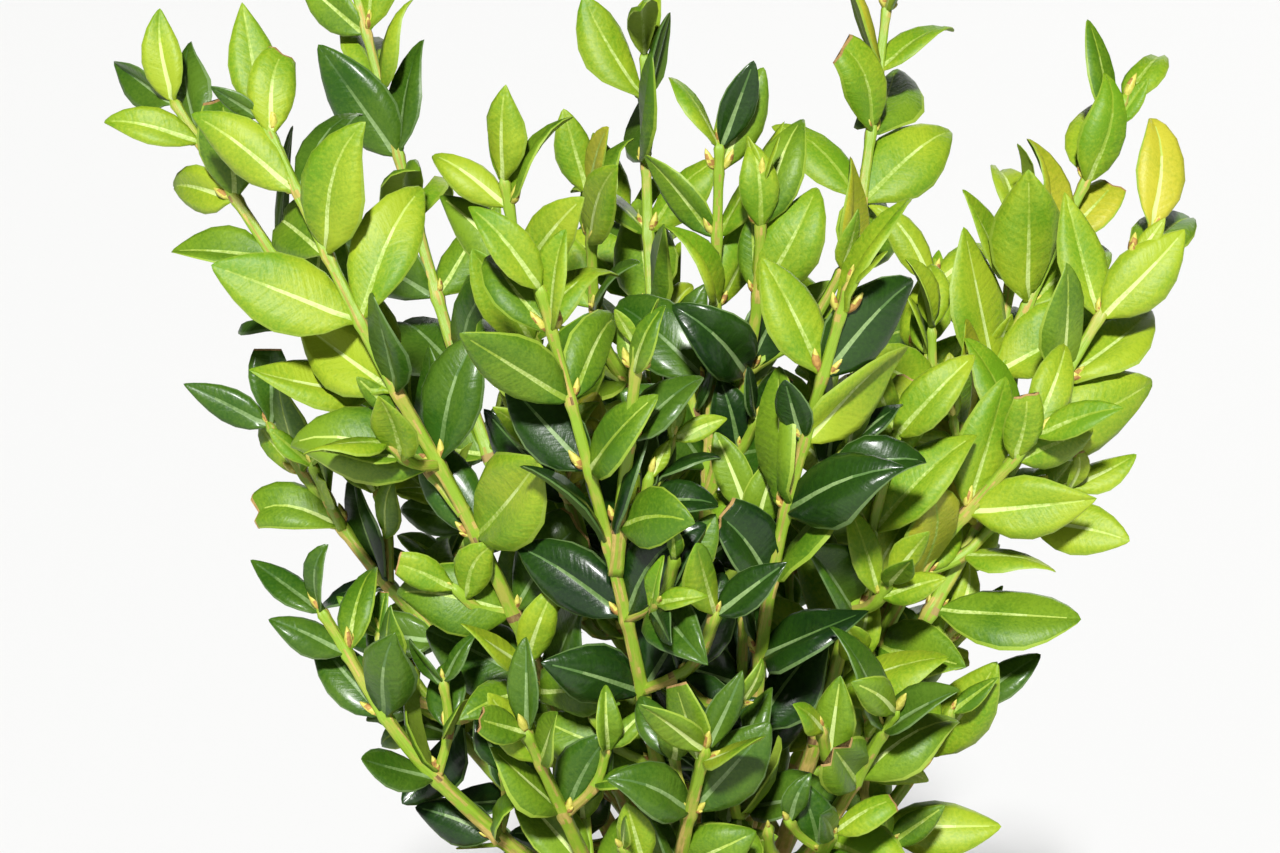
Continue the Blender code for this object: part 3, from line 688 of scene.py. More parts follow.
# %% [markdown]
# ## Finer twigs
#
# The frame keeps to a modest number of leaves. A real young box is denser near its foot, where short
# twigs with small leaves fill the axils. The same rule goes on here for one more rank, with thinner
# twigs and smaller leaves, and each new one stays inside the box of its own mass, so that the crown's
# outline stays as it was. Sprigs on the bare limbs stay in a smaller box round the foot.

# %% Grow the finer twigs
FINE_CHANCE, SPRIG_CHANCE = 0.85, 0.9
FINE_LENGTH = 17 * MM
FINE_THIN, FINE_LEAF = 0.72, 0.66  # over the parent twig and its leaves
FINE_BELOW = 105 * MM  # height over the soil
SPRAY_MARGIN = 2.5 * MM
SPRIGS_FROM = 0.40  # of the bare limb
FOOT_WIDTH, FOOT_TOP = 0.5, 0.6  # the foot's box over the whole one


def mass_boxes():
    margin = Vector((SPRAY_MARGIN,) * 3)
    boxes = {}
    for mass in masses:
        low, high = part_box(mass + "_leaves")
        boxes[mass] = (Vector(low) - margin, Vector(high) + margin)
    return boxes


def bare_limbs():
    """The outer part of each limb, which bears sprigs but no leaves of its own."""
    limbs = []
    for shoot, route in zip(SHOOTS, routes):
        if shoot.bare:
            end = shoot.bare * route_length(route)
            limbs.append(Twig(shoot.mass, route, SPRIGS_FROM * end, end, TWIG_BASE_RADIUS, shoot.leaf * MM))
    return limbs


boxes = mass_boxes()
fine = (FINE_LENGTH, FINE_THIN, FINE_LEAF)
fine_twigs = branch_off(shoots + side_shoots, 900, 0.8, FINE_CHANCE, *fine, boxes)
low, high = cad_box
foot_box = (Vector((FOOT_WIDTH * low[0], FOOT_WIDTH * low[1], SOIL_LEVEL)), Vector(high) * FOOT_TOP)
foot_boxes = dict.fromkeys(masses, foot_box)
sprigs = branch_off(bare_limbs(), 1300, 0.97, SPRIG_CHANCE, *fine, foot_boxes)
fine_leaves = grow_leaves(fine_twigs, 1, 5000, boxes) + grow_leaves(sprigs, 1, 6000, foot_boxes)
fine_twigs += sprigs
leaves += fine_leaves
print(len(fine_twigs), "fine twigs,", len(fine_leaves), "more leaves,", len(leaves), "in all")

# %% [markdown]
# ## The blade
#
# A box leaf is an oval that is widest near its middle, with a narrow tip and a very short stalk. Its
# midrib is a shallow groove above and a low keel below. The blank is made once, from two grids that are
# welded at the rim: seven strips above, of which the middle one is the midrib and the outer two are the
# pale margins, and five below. The margins are paler partly by the leaf's own pale rim and partly by a
# painted highlight, where the rolled edge would catch the light. It has about a hundred faces, because
# the leaves are seen from so close that a coarser outline shows its corners. Some leaves were clipped, so
# a second blank ends in a straight cut with a thin dry edge.

# %% The blank of a leaf
RIB_EDGE = 0.1  # where the midrib ends, as a share of half the blade's width
MARGIN_FROM = 0.95
ROWS = (0.0, 0.07, 0.18, 0.32, 0.48, 0.64, 0.79, 0.905, 0.975, 1.0)
TOP_COLUMNS = (-1.0, -MARGIN_FROM, -0.62, -RIB_EDGE, RIB_EDGE, 0.62, MARGIN_FROM, 1.0)
UNDER_COLUMNS = (-1.0, -0.6, -RIB_EDGE, RIB_EDGE, 0.6, 1.0)
RIB_FADES = 0.60
RIB_END = 0.88
TOP, UNDER, RIB, RIB_TIP, EDGE, MARGIN = range(6)
Blank = namedtuple("Blank", "points faces kinds rim")


def lay_grid(bm, columns, rows, layer, closed_tip):
    """A grid whose x is the place across the blade, y the place along it and z the layer."""
    laid = bmesh.ops.create_grid(bm, x_segments=len(columns) - 1, y_segments=len(rows) - 1, size=1.0)
    verts = laid["verts"]
    across = sorted({round(v.co.x, 4) for v in verts})
    along = sorted({round(v.co.y, 4) for v in verts})
    for vert in verts:
        column = columns[across.index(round(vert.co.x, 4))]
        row = rows[along.index(round(vert.co.y, 4))]
        at_end = row == rows[0] or (closed_tip and row == rows[-1])
        on_rim = abs(column) == 1.0 or at_end or row == rows[-1]
        vert.co = (0.0 if at_end else column, row, 0.0 if on_rim else layer)


def is_rim(edge):
    """The rim runs where a face above meets a face below."""
    ends = [abs(vert.co.x) > 0.99 or vert.co.y in (ROWS[0], ROWS[-1]) for vert in edge.verts]
    return all(ends) and len({face.normal.z > 0 for face in edge.link_faces}) > 1


def kind_of(centre, is_top, closed_tip):
    """The kind of surface that a face of the blank belongs to, by where its centre lies."""
    if not closed_tip and centre.y > (ROWS[-1] + ROWS[-2]) / 2 - 0.001:
        return EDGE
    if abs(centre.x) > MARGIN_FROM:
        return MARGIN
    if abs(centre.x) < RIB_EDGE and centre.y < RIB_END:
        return RIB if centre.y < RIB_FADES else RIB_TIP
    return TOP if is_top else UNDER


def leaf_blank(closed_tip):
    """Vertices as (across, along, layer), faces with the kind of surface that each is, and the rim."""
    bm = bmesh.new()
    lay_grid(bm, TOP_COLUMNS, ROWS, 1.0, closed_tip)
    top = set(bm.faces)
    lay_grid(bm, UNDER_COLUMNS, ROWS, -1.0, closed_tip)
    bmesh.ops.reverse_faces(bm, faces=[face for face in bm.faces if face not in top])
    for face in bm.faces:
        face.material_index = kind_of(face.calc_center_median(), face in top, closed_tip)
    bmesh.ops.remove_doubles(bm, verts=bm.verts, dist=1e-5)
    bmesh.ops.holes_fill(bm, edges=[edge for edge in bm.edges if edge.is_boundary], sides=0)
    bm.verts.index_update()
    bm.normal_update()
    kinds = [face.material_index for face in bm.faces]
    rim = [tuple(v.index for v in edge.verts) for edge in bm.edges if is_rim(edge)]
    loose = sum(1 for edge in bm.edges if not edge.is_manifold)
    points, faces = taken_apart(bm)
    print("leaf blank:", len(faces), "faces,", len(rim), "rim edges,", loose, "open edges")
    return Blank(points, faces, kinds, rim)


whole_blank = leaf_blank(True)
clipped_blank = leaf_blank(False)

# %% [markdown]
# ## Bending each leaf
#
# No two leaves are alike: blades fold along the midrib, curl back to the tip, twist a little, and some
# are broad and some narrow. Each leaf draws its own few numbers and turns part of the way to the sun,
# and array maths bends the blank's points by them, which is far quicker than a modifier for each leaf.

# %% Shape one leaf
STALK_WIDTH = 1.4 * MM
STALK_END = 0.12
TIP_DRAWN = 0.62  # over a half, the sides run straighter into a narrower tip
CUT_AT = 0.78  # where a clipped leaf ends
CUT_LENGTH = 0.76
NEAR_RIB = 0.2  # the blank's points within this belong to the midrib
BLADE_THICK, STALK_THICK = 0.17, 0.28  # half of each, in mm
KEEL = 0.28 * MM
SUN_FROM = Vector((0, -1, 0.35)).normalized()
SUN_SEEKING = dict(light_painted=0.65, fresh=0.35, body_shade_painted=0.40, golden=0.30, mature=0.15, shade_painted=0.25)
MOST_TURN = 1.1
Bend = namedtuple("Bend", "width base blunt fold arch cup roll curl turn twist wave cut")


def plain_outline(share, base, blunt):
    return share**base * ((1 - share) * (1 + blunt - share)) ** TIP_DRAWN


def outline(along, base, blunt):
    """Half the blade's width along it, as a share of its widest: a wedge at the base, a narrow tip."""
    widest = plain_outline(np.linspace(0, 1, 64), base, blunt).max()
    return plain_outline(np.clip((along - 0.02) / 0.98, 1e-6, 1), base, blunt) / widest


def turn_to_sun(leaf):
    """The turn about its own length that would set a blade square to the sun."""
    turn = math.atan2(-leaf.across.dot(SUN_FROM), leaf.face.dot(SUN_FROM))
    return max(-MOST_TURN, min(MOST_TURN, turn))


def draw_turn(rng):
    """Most blades turn a little about their length, and a third of them turn far, to either side."""
    if rng.random() < 0.32:
        return rng.choice((-1, 1)) * rng.uniform(0.6, 1.3)
    return rng.gauss(0.0, 0.30)


def draw_bend(rng, share):
    """The few numbers that make one leaf its own. The leaves of a shoot's tip are the narrow ones."""
    folded = rng.random() < 0.30
    curled = rng.random() < 0.36
    return Bend(
        width=rng.uniform(0.48, 0.60) * (1 - 0.24 * share**2),
        base=rng.uniform(0.72, 1.04),
        blunt=rng.uniform(0.05, 0.30),
        fold=rng.uniform(0.5, 0.9) if folded else rng.uniform(0.08, 0.44),
        arch=rng.uniform(0.05, 0.20),
        cup=rng.uniform(-0.55, 0.05),
        roll=rng.uniform(0.12, 0.34),
        curl=rng.uniform(0.7, 1.4) if curled else rng.gauss(0.32, 0.34),
        turn=draw_turn(rng),
        twist=rng.gauss(0.0, 0.42),
        wave=rng.uniform(0.0, 0.05),
        cut=rng.random() < 0.06,
    )


def eased(bend, share):
    """The same leaf, bent by only a share of its own bend."""
    fold = 0.1 + (bend.fold - 0.1) * share
    turned = {name: getattr(bend, name) * share for name in ("cup", "curl", "turn", "twist")}
    return bend._replace(fold=fold, **turned)


def shape_leaf(leaf, bend, points, rib_height):
    """The blank's points, bent into this leaf's place."""
    across, along, layer = points.T
    length = leaf.length * (CUT_LENGTH if bend.cut else 1.0)
    reach = along * (CUT_AT if bend.cut else 1.0)
    half = 0.5 * bend.width * leaf.length * outline(reach, bend.base, bend.blunt)
    half = np.maximum(half, 0.5 * STALK_WIDTH * (along < STALK_END))
    half = np.where((along == 0) | ((along == 1) & (not bend.cut)), 0, half)
    in_rib = np.abs(across) < NEAR_RIB
    rib_half = np.minimum((0.08 + 0.44 * (1 - along)) * MM, 0.5 * half)
    side = np.where(in_rib, np.sign(across) * rib_half, across * half)
    thick = layer * MM * (BLADE_THICK * (1 - 0.35 * along) + STALK_THICK * (along < 0.1))
    rib = np.where(in_rib & (layer > 0), rib_height, 0) * (1 - along) ** 0.5
    keel = np.where(in_rib & (layer < 0), -KEEL, 0) * (1 - 0.8 * along)
    blade = np.abs(across) * (np.abs(across) > NEAR_RIB)
    rolled = np.clip((blade - 0.5) / 0.5, 0, 1) ** 2
    swell = half * (4 * bend.arch * blade * (1 - blade) - bend.roll * rolled)
    wavy = bend.wave * half * blade * np.sin(along * 11 + 40 * bend.width + np.sign(across))
    lift = thick + rib + keel + swell + wavy
    lift += bend.fold * np.abs(side) + bend.cup * side**2 / (0.25 * leaf.length)
    slope = bend.curl * along**2
    spine_along = length * (along - bend.curl**2 * along**5 / 10)
    spine_lift = -length * bend.curl * along**3 / 3
    turn = bend.turn * np.minimum(along * 6, 1) + bend.twist * along
    side_turned = side * np.cos(turn) - lift * np.sin(turn)
    lift_turned = side * np.sin(turn) + lift * np.cos(turn)
    forward = spine_along + lift_turned * np.sin(slope)
    upward = spine_lift + lift_turned * np.cos(slope)
    axes = np.array([tuple(leaf.along), tuple(leaf.across), tuple(leaf.face)])
    return np.array(tuple(leaf.root)) + np.stack([forward, side_turned, upward], axis=1) @ axes


print("widest at", round(float(np.argmax(plain_outline(np.linspace(0, 1, 101), 0.88, 0.18))) / 100, 2))

# %% [markdown]
# ## Which green goes where
#
# The shoots differ in age. Fresh ones mix yellow-green and deeper leaves, mature ones hold dark glossy
# leaves, and a few leaves have turned golden. The greens also paint light and shade: the shoots on the
# right get the brightest yellow-greens as painted light, the shoots on the left get deeper greens as
# painted shade, and some of those keep bright tips over a body of deeper greens that paints shade. On each
# kind of shoot the tip, the body and the leaves low over the soil have their own odds. The tone is dealt
# out leaf by leaf from a small table, so each leaf keeps one plain finish.

# %% Deal out the tones
# The odds for the right-hand shoots favour bright greens, as painted light; those for the left-hand shoots
# favour deep and dark greens, as painted shade.
TONES = {
    ("light_painted", "tip"): dict(golden=0.16, bright=0.72, fresh=0.12),
    ("light_painted", "body"): dict(golden=0.09, bright=0.68, fresh=0.19, deep=0.04),
    ("light_painted", "low"): dict(bright=0.54, fresh=0.36, deep=0.10),
    ("fresh", "tip"): dict(golden=0.05, bright=0.71, fresh=0.20, deep=0.04),
    ("fresh", "body"): dict(bright=0.36, fresh=0.42, deep=0.18, mature=0.04),
    ("fresh", "low"): dict(bright=0.22, fresh=0.44, deep=0.26, mature=0.08),
    ("body_shade_painted", "tip"): dict(bright=0.50, fresh=0.36, deep=0.14),
    ("body_shade_painted", "body"): dict(bright=0.08, fresh=0.40, deep=0.32, mature=0.20),
    ("body_shade_painted", "low"): dict(bright=0.08, fresh=0.38, deep=0.30, mature=0.24),
    ("shade_painted", "tip"): dict(bright=0.16, fresh=0.48, deep=0.36),
    ("shade_painted", "body"): dict(bright=0.12, fresh=0.34, deep=0.32, mature=0.22),
    ("shade_painted", "low"): dict(bright=0.08, fresh=0.34, deep=0.32, mature=0.26),
    ("mature", "tip"): dict(bright=0.56, fresh=0.22, mature=0.22),
    ("mature", "body"): dict(mature=0.56, deep=0.20, fresh=0.24),
    ("mature", "low"): dict(mature=0.40, deep=0.26, fresh=0.34),
    ("golden", "tip"): dict(golden=0.30, bright=0.50, fresh=0.20),
    ("golden", "body"): dict(golden=0.08, bright=0.30, fresh=0.26, mature=0.36),
    ("golden", "low"): dict(fresh=0.44, deep=0.28, mature=0.28),
}
DARK = ("mature", "deep")
LOW_LEAVES = 62 * MM  # height over the soil
TIP_FROM = 0.64  # share of a shoot from which its leaves count as those of its tip


def deal(rng, chances):
    roll = rng.random() * sum(chances.values())
    for name, weight in chances.items():
        roll -= weight
        if roll <= 0:
            return name
    return name


def leaf_slots(tone):
    """Slots of the top, underside, midrib, its end, the cut edge and the margin of a leaf of this tone."""
    age = "mature" if tone in DARK else "pale"
    ribs = ("rib_" + age, f"rib_{age}_tip")
    names = ("blade_" + tone, "under_" + age, *ribs, "cut_edge", "margin_" + age)
    return [LEAF_SLOTS.index(name) for name in names]


print("a golden leaf takes the slots", leaf_slots("golden"))

# %% [markdown]
# ## Joining the leaves of each mass
#
# Hundreds of separate objects would be slow to draw and to export, so all the leaves of a mass are one
# mesh. A heap gathers the copies: each brings its points, its faces, the slot of each face, and its map
# in millimetres. Edges on a leaf's rim are marked sharp, so that the shading breaks there.

# %% Gather copies into one mesh


def mark_sharp(mesh, rims):
    """Edges where the smooth shading breaks, given as pairs of vertices."""
    ends = np.empty(len(mesh.edges) * 2, dtype=np.int64)
    mesh.edges.foreach_get("vertices", ends)
    ends = np.sort(ends.reshape(-1, 2), axis=1)
    wanted = np.sort(np.asarray(rims, dtype=np.int64), axis=1)
    count = len(mesh.vertices)
    sharp = np.isin(ends[:, 0] * count + ends[:, 1], wanted[:, 0] * count + wanted[:, 1])
    mesh.attributes.new("sharp_edge", "BOOLEAN", "EDGE").data.foreach_set("value", sharp)


def new_piece(name, mesh, materials):
    """The mesh as a piece with its finishes, which rides on the one body of the frame."""
    for material in materials:
        mesh.materials.append(material)
    piece = new_object(name, mesh)
    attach(piece, "root")
    return piece


class Heap:
    """Copies of a blank, gathered to be one mesh."""

    def __init__(self):
        self.points, self.faces, self.slots, self.maps, self.rims = [], [], [], [], []
        self.count = 0

    def add(self, points, faces, slots, maps, rim=()):
        self.points.append(points)
        self.faces += [tuple(self.count + i for i in face) for face in faces]
        self.rims += [(self.count + a, self.count + b) for a, b in rim]
        self.slots += slots
        self.maps.append(maps)
        self.count += len(points)

    def to_piece(self, name, materials):
        mesh = bpy.data.meshes.new(name)
        mesh.from_pydata(np.concatenate(self.points), [], self.faces)
        mesh.polygons.foreach_set("material_index", self.slots)
        mesh.polygons.foreach_set("use_smooth", [True] * len(self.faces))
        layer = mesh.uv_layers.new(name="blade_mm")
        corners = np.empty(len(mesh.loops), dtype=np.int32)
        mesh.loops.foreach_get("vertex_index", corners)
        layer.uv.foreach_set("vector", np.concatenate(self.maps)[corners].ravel())
        if self.rims:
            mark_sharp(mesh, self.rims)
        mesh.update()
        return new_piece(name, mesh, materials)


# %% Join the leaves
EASINGS = (1.0, 0.6, 0.3, 0.0)
SMALLER = (1.0, 0.85, 0.7, 0.55)
SWINGS = (0.0, 0.5, -0.5, 1.0, -1.0)
STALK_FREE = 0.1  # the share of a leaf at its root that isn't tested, because the pair meets there
VEIN_SLANT = 0.7
GROOVE, RIDGE = -0.06 * MM, 0.05 * MM  # the midrib above, on dark leaves and on the others
shaped = Space()
crowded = []


def bend_clear(placed, bend, blank, rib_height):
    """The leaf's points, with its bend eased until it cuts into no leaf that is already shaped.

    A small leaf of a fine twig that finds no room is left out.
    """
    leaf = placed.leaf
    at_stalk = blank.points[:, 1:2] < STALK_FREE
    ahead = np.where(at_stalk, STALK_FREE, 0.0) * leaf.length * np.array(tuple(leaf.along))
    for size, swing, share in product(SMALLER, SWINGS, EASINGS):
        bent = eased(bend, share)
        bent = bent._replace(turn=bent.turn + swing)
        points = shape_leaf(leaf._replace(length=leaf.length * size), bent, blank.points, rib_height)
        tree = ball_tree([Vector(p) for p in points + ahead * size], blank.faces)
        if shaped.is_free("", tree):
            break
    else:
        crowded.append(placed.rank)
        if placed.rank:
            return None
    shaped.add("leaf", tree)
    return points


def leaf_map(points, bend, length, start):
    """Millimetres across and along the blade, slanted so that the side veins run on towards the tip."""
    across, along, _ = points.T
    aside = across * 0.5 * bend.width * length * outline(along, bend.base, bend.blunt)
    ahead = along * length - VEIN_SLANT * np.abs(aside)
    return np.stack([start + aside / MM / MAP_MM, start + ahead / MM / MAP_MM], axis=1)


def join_leaves(mass, tone):
    heap = Heap()
    seeking = SUN_SEEKING[tone]
    for number, placed in enumerate(p for p in leaves if p.mass == mass):
        leaf = placed.leaf
        rng = random.Random(f"{mass} {number}")
        where = "tip" if placed.share > TIP_FROM else "body"
        if leaf.root.z < SOIL_LEVEL + LOW_LEAVES:
            where = "low"
        colour = deal(rng, TONES[tone, where])
        bend = draw_bend(rng, placed.share)
        bend = bend._replace(turn=(1 - seeking) * bend.turn + seeking * turn_to_sun(leaf))
        blank = clipped_blank if bend.cut else whole_blank
        points = bend_clear(placed, bend, blank, GROOVE if colour in DARK else RIDGE)
        if points is not None:
            slot_of = leaf_slots(colour)
            slots = [slot_of[kind] for kind in blank.kinds]
            maps = leaf_map(blank.points, bend, leaf.length, rng.uniform(0, 9))
            heap.add(points, blank.faces, slots, maps, blank.rim)
    piece = heap.to_piece(mass + "_blades", leaf_materials)
    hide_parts(mass + "_leaves")
    return piece, len(heap.faces)


leaf_faces = 0
for mass in masses:
    tone = next(shoot.tone for shoot in SHOOTS if shoot.mass == mass)
    blades, count = join_leaves(mass, tone)
    leaf_faces += count
left_out = sum(crowded)
print(len(leaves) - left_out, "leaves joined:", leaf_faces, "faces")
print(left_out, "left out,", len(crowded) - left_out, "that still touch a neighbour")

# %% [markdown]
# ## Twigs and limbs with relief
#
# A twig of box is square in section, swells at each pair of leaves and runs straight between them. The
# tube starts as a flat grid that is rolled up round the route: its long edges are welded and its ends
# are filled. A curve with a bevel would be quicker, but it can't swell at the nodes, keep four ridges,
# or carry corky relief. A twig that carries on a limb has one more swelling at its foot, which hides the
# end of the limb.

# %% A rolled tube


def carried_frames(places):
    """A frame for each place that turns no more than the route itself bends."""
    tangents = [(b - a).normalized() for a, b in zip(places, places[1:])]
    tangents.append(tangents[-1].copy())
    side = tangents[0].orthogonal().normalized()
    frames = []
    for tangent in tangents:
        side = (side - tangent * side.dot(tangent)).normalized()
        frames.append((side.copy(), tangent.cross(side).normalized()))
    return frames


def rolled_tube(bm, places, radius_at, sides, slot_at):
    """A closed tube. radius_at and slot_at give the radius and the material for a ring and an angle."""
    rings = len(places)
    uv = bm.loops.layers.uv.verify()
    verts = bmesh.ops.create_grid(bm, x_segments=sides, y_segments=rings - 1, size=0.5)["verts"]
    frames = carried_frames(places)
    spans = [0.0]
    for a, b in zip(places, places[1:]):
        spans.append(spans[-1] + (b - a).length)
    ring_of = {vert: (vert.co.x + 0.5, round((vert.co.y + 0.5) * (rings - 1))) for vert in verts}
    for face in {face for vert in verts for face in vert.link_faces}:
        low = min(ring_of[vert][1] for vert in face.verts)
        face.material_index = slot_at(low, math.tau * min(ring_of[vert][0] for vert in face.verts))
        face.smooth = True
        for loop in face.loops:
            around, ring = ring_of[loop.vert]
            loop[uv].uv = (around, spans[ring] / MM / MAP_MM)
    for vert, (around, ring) in ring_of.items():
        angle = math.tau * around
        out, up = frames[ring]
        vert.co = places[ring] + (out * math.cos(angle) + up * math.sin(angle)) * radius_at(ring, angle)
    bmesh.ops.remove_doubles(bm, verts=verts, dist=1e-7)
    kept = [vert for vert in verts if vert.is_valid]
    rims = {edge for vert in kept for edge in vert.link_edges if edge.is_boundary}
    bmesh.ops.holes_fill(bm, edges=list(rims), sides=0)


def piece_from(bm, name, materials):
    """The finished bmesh as a piece with its faces outwards."""
    bmesh.ops.recalc_face_normals(bm, faces=bm.faces)
    open_edges = sum(1 for edge in bm.edges if not edge.is_manifold)
    mesh = bpy.data.meshes.new(name)
    bm.to_mesh(mesh)
    bm.free()
    print(name + ":", len(mesh.polygons), "faces,", open_edges, "open edges")
    return new_piece(name, mesh, materials)


# %% Twigs
GREEN, CORK, SCAR = range(3)
NODE_SWELL = 0.26
NODE_REACH = 1.3 * MM
SCAR_REACH = 0.9 * MM
FOOT_OVERLAP = 2.4 * MM
SKIN_SCALE = 1.16  # the living skin and its ridges, over the plain twig
RIDGES = 0.15
TIP_CLOSES, FOOT_CLOSES = 0.55, 0.85
AGE_OF_TWIG = 0.32
STRIP_LONG = 13 * MM
FLECK_LONG = 0.9 * MM
SCAR_LIMIT, CORK_LIMIT = 0.60, 0.46
MAIN_SIDES, MAIN_STEP = 16, 1.4 * MM
FINE_SIDES, FINE_STEP = 8, 1.6 * MM


def round_noise(angle, width, along):
    """A noise on a tube, without a seam where the angle closes."""
    return noise.noise(Vector((width * math.cos(angle), width * math.sin(angle), along)))


def bump_at(distance, reach):
    """1 at a node, falling off smoothly within the reach."""
    return math.exp(-((distance / reach) ** 2))


def skin_slot(age, node_near, distance, angle, number):
    """Cork breaks through the green skin in lengthwise strips with age, and brown scars ring the nodes."""
    strip = round_noise(angle, 2.6, distance / STRIP_LONG + 7 * number)
    fleck = round_noise(angle, 3, distance / FLECK_LONG + 3 * number)
    if node_near * (0.25 + 1.5 * age) + 0.5 * fleck > SCAR_LIMIT:
        return SCAR
    return CORK if age + 0.30 * node_near + 0.9 * strip + 0.2 * fleck > CORK_LIMIT else GREEN


def ring_distances(start, end, step):
    count = max(3, round((end - start) / step) + 1)
    return [start + (end - start) * i / (count - 1) for i in range(count)]


def twig_tube(bm, twig, number, sides, step):
    """One leafy twig, four-angled, with a swelling at each pair of leaves and a rounded tip."""
    foot = FOOT_OVERLAP if twig.start else 0.0
    nodes = node_distances(twig.start, twig.end) + ([twig.start] if foot else [])
    distances = ring_distances(twig.start - foot, twig.end, step)
    places = [walk(twig.route, d)[0] for d in distances]
    last = len(distances) - 1

    def radius_at(ring, angle):
        plain = twig.radius + (TWIG_TIP_RADIUS - twig.radius) * (ring / last)
        square = 1 + RIDGES * math.cos(4 * angle)
        near = min(abs(distances[ring] - node) for node in nodes)
        swell = 1 + NODE_SWELL * bump_at(near, NODE_REACH)
        grain = noise.noise(places[ring] / (2 * MM) + Vector((math.cos(angle), math.sin(angle), number)))
        end = TIP_CLOSES if ring == last else FOOT_CLOSES if foot and ring == 0 else 1.0
        return plain * SKIN_SCALE * square * swell * (1 + 0.06 * grain) * end

    def slot_at(ring, angle):
        near = min(abs(distances[ring] + 0.5 * step - node) for node in nodes)
        age = AGE_OF_TWIG * (1 - ring / last)
        return skin_slot(age, bump_at(near, SCAR_REACH), distances[ring], angle, number)

    rolled_tube(bm, places, radius_at, sides, slot_at)


bm = bmesh.new()
for number, twig in enumerate(shoots):
    twig_tube(bm, twig, number, MAIN_SIDES, MAIN_STEP)
for number, twig in enumerate(side_shoots + fine_twigs):
    twig_tube(bm, twig, 100 + number, FINE_SIDES, FINE_STEP)
twigs_piece = piece_from(bm, "leafy_twigs", SKINS)
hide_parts(*[mass + "_leaves" for mass in masses])

# %% [markdown]
# ## Limbs and stem
#
# The limbs are the bare feet of the shoots. Their bark is young cork: it stands in low ribs and breaks
# into strips. The stem between the soil and the fork is the oldest wood, with a root flare that spreads
# into the soil. Both are the same rolled tube, with the relief added to each ring's radius from a noise
# that is stretched along the limb.

# %% Limbs
LIMB_RING = 1.2 * MM
LIMB_SIDES = 16
CORK_LONG = 6 * MM
CORK_RISE = 0.10
LEAF_SCAR, LEAF_SCAR_REACH = 0.12, 0.8 * MM
FOOT_AGE, AGE_LESS = 0.75, 0.40  # at the limb's foot, and how much less at its end


def limb_tube(bm, shoot, route, number):
    base = LIMB_BASE_RADIUS if shoot.parent == "stem" else SIDE_LIMB_BASE_RADIUS
    tip = LIMB_TIP_RADIUS if shoot.parent == "stem" else TWIG_BASE_RADIUS
    distances = ring_distances(0, shoot.bare * route_length(route), LIMB_RING)
    places = [walk(route, d)[0] for d in distances]
    last = len(distances) - 1

    def radius_at(ring, angle):
        ribs = 0.05 * math.cos(4 * angle) + 0.04 * math.cos(9 * angle + 1.7 * number)
        cork = round_noise(angle, 2.2, distances[ring] / CORK_LONG + 11 * number)
        scar = LEAF_SCAR * bump_at(distances[ring] % INTERNODE, LEAF_SCAR_REACH)
        return (base + (tip * SKIN_SCALE - base) * (ring / last)) * (1 + ribs + CORK_RISE * cork + scar)

    def slot_at(ring, angle):
        near = abs((distances[ring] + 0.5 * INTERNODE) % INTERNODE - 0.5 * INTERNODE)
        age = FOOT_AGE - AGE_LESS * ring / last
        return skin_slot(age, 0.8 * bump_at(near, SCAR_REACH), distances[ring], angle, 50 + number)

    rolled_tube(bm, places, radius_at, LIMB_SIDES, slot_at)


bm = bmesh.new()
for number, (shoot, route) in enumerate(zip(SHOOTS, routes)):
    if shoot.bare:
        limb_tube(bm, shoot, route, number)
limbs_piece = piece_from(bm, "limbs_bark", SKINS)
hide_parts(*[shoot.mass + "_limb" for shoot in SHOOTS if shoot.bare])

# %% Stem
STEM_PROFILE = ((0.0, 1.75), (0.10, 1.45), (0.28, 1.08), (0.55, 1.0), (0.78, 1.12), (0.93, 0.86), (1.0, 0.45))
STEM_SIDES = 48
STEM_STEP = 0.03  # of its height
ROOT_RIBS = 5
BARK_RIBS = 17


def stem_tube(bm):
    heights = ring_distances(0.0, 1.0, STEM_STEP)
    lean = Vector((STEM_LEAN, 0, 0))
    base = Vector((0, 0, SOIL_LEVEL + 0.5 * GAP))
    places = [base + Vector((0, 0, (STEM_HEIGHT - GAP) * h)) + lean * h**2 for h in heights]
    shares, scales = zip(*STEM_PROFILE)

    def radius_at(ring, angle):
        share = heights[ring]
        plain = STEM_RADIUS * float(np.interp(share, shares, scales))
        roots = 0.13 * (1 - share) ** 3 * math.cos(ROOT_RIBS * angle + 0.6)
        spot = Vector((1.6 * math.cos(angle), 1.6 * math.sin(angle), share * 2.2))
        cork = 0.07 * noise.noise(spot * 2.1) + 0.03 * math.cos(BARK_RIBS * angle + 4 * share)
        return plain * (0.97 + roots + cork)

    rolled_tube(bm, places, radius_at, STEM_SIDES, lambda ring, angle: 0)


bm = bmesh.new()
stem_tube(bm)
stem_piece = piece_from(bm, "stem_bark", [stem_bark])
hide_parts("stem")

# %% [markdown]
# ## Buds
#
# In the axils and at the tips sit slim pointed buds, cream below and rusty at the point, and older
# nodes keep a pair of dry scales. Each is a small sphere of a few dozen faces, drawn out to a point.
# They are joined, because there are hundreds. The scales of a bud are thin dry skins, so their finish
# is matt and a little blotched, and the clay and the soil further on are made by the same function.

# %% Bud finishes


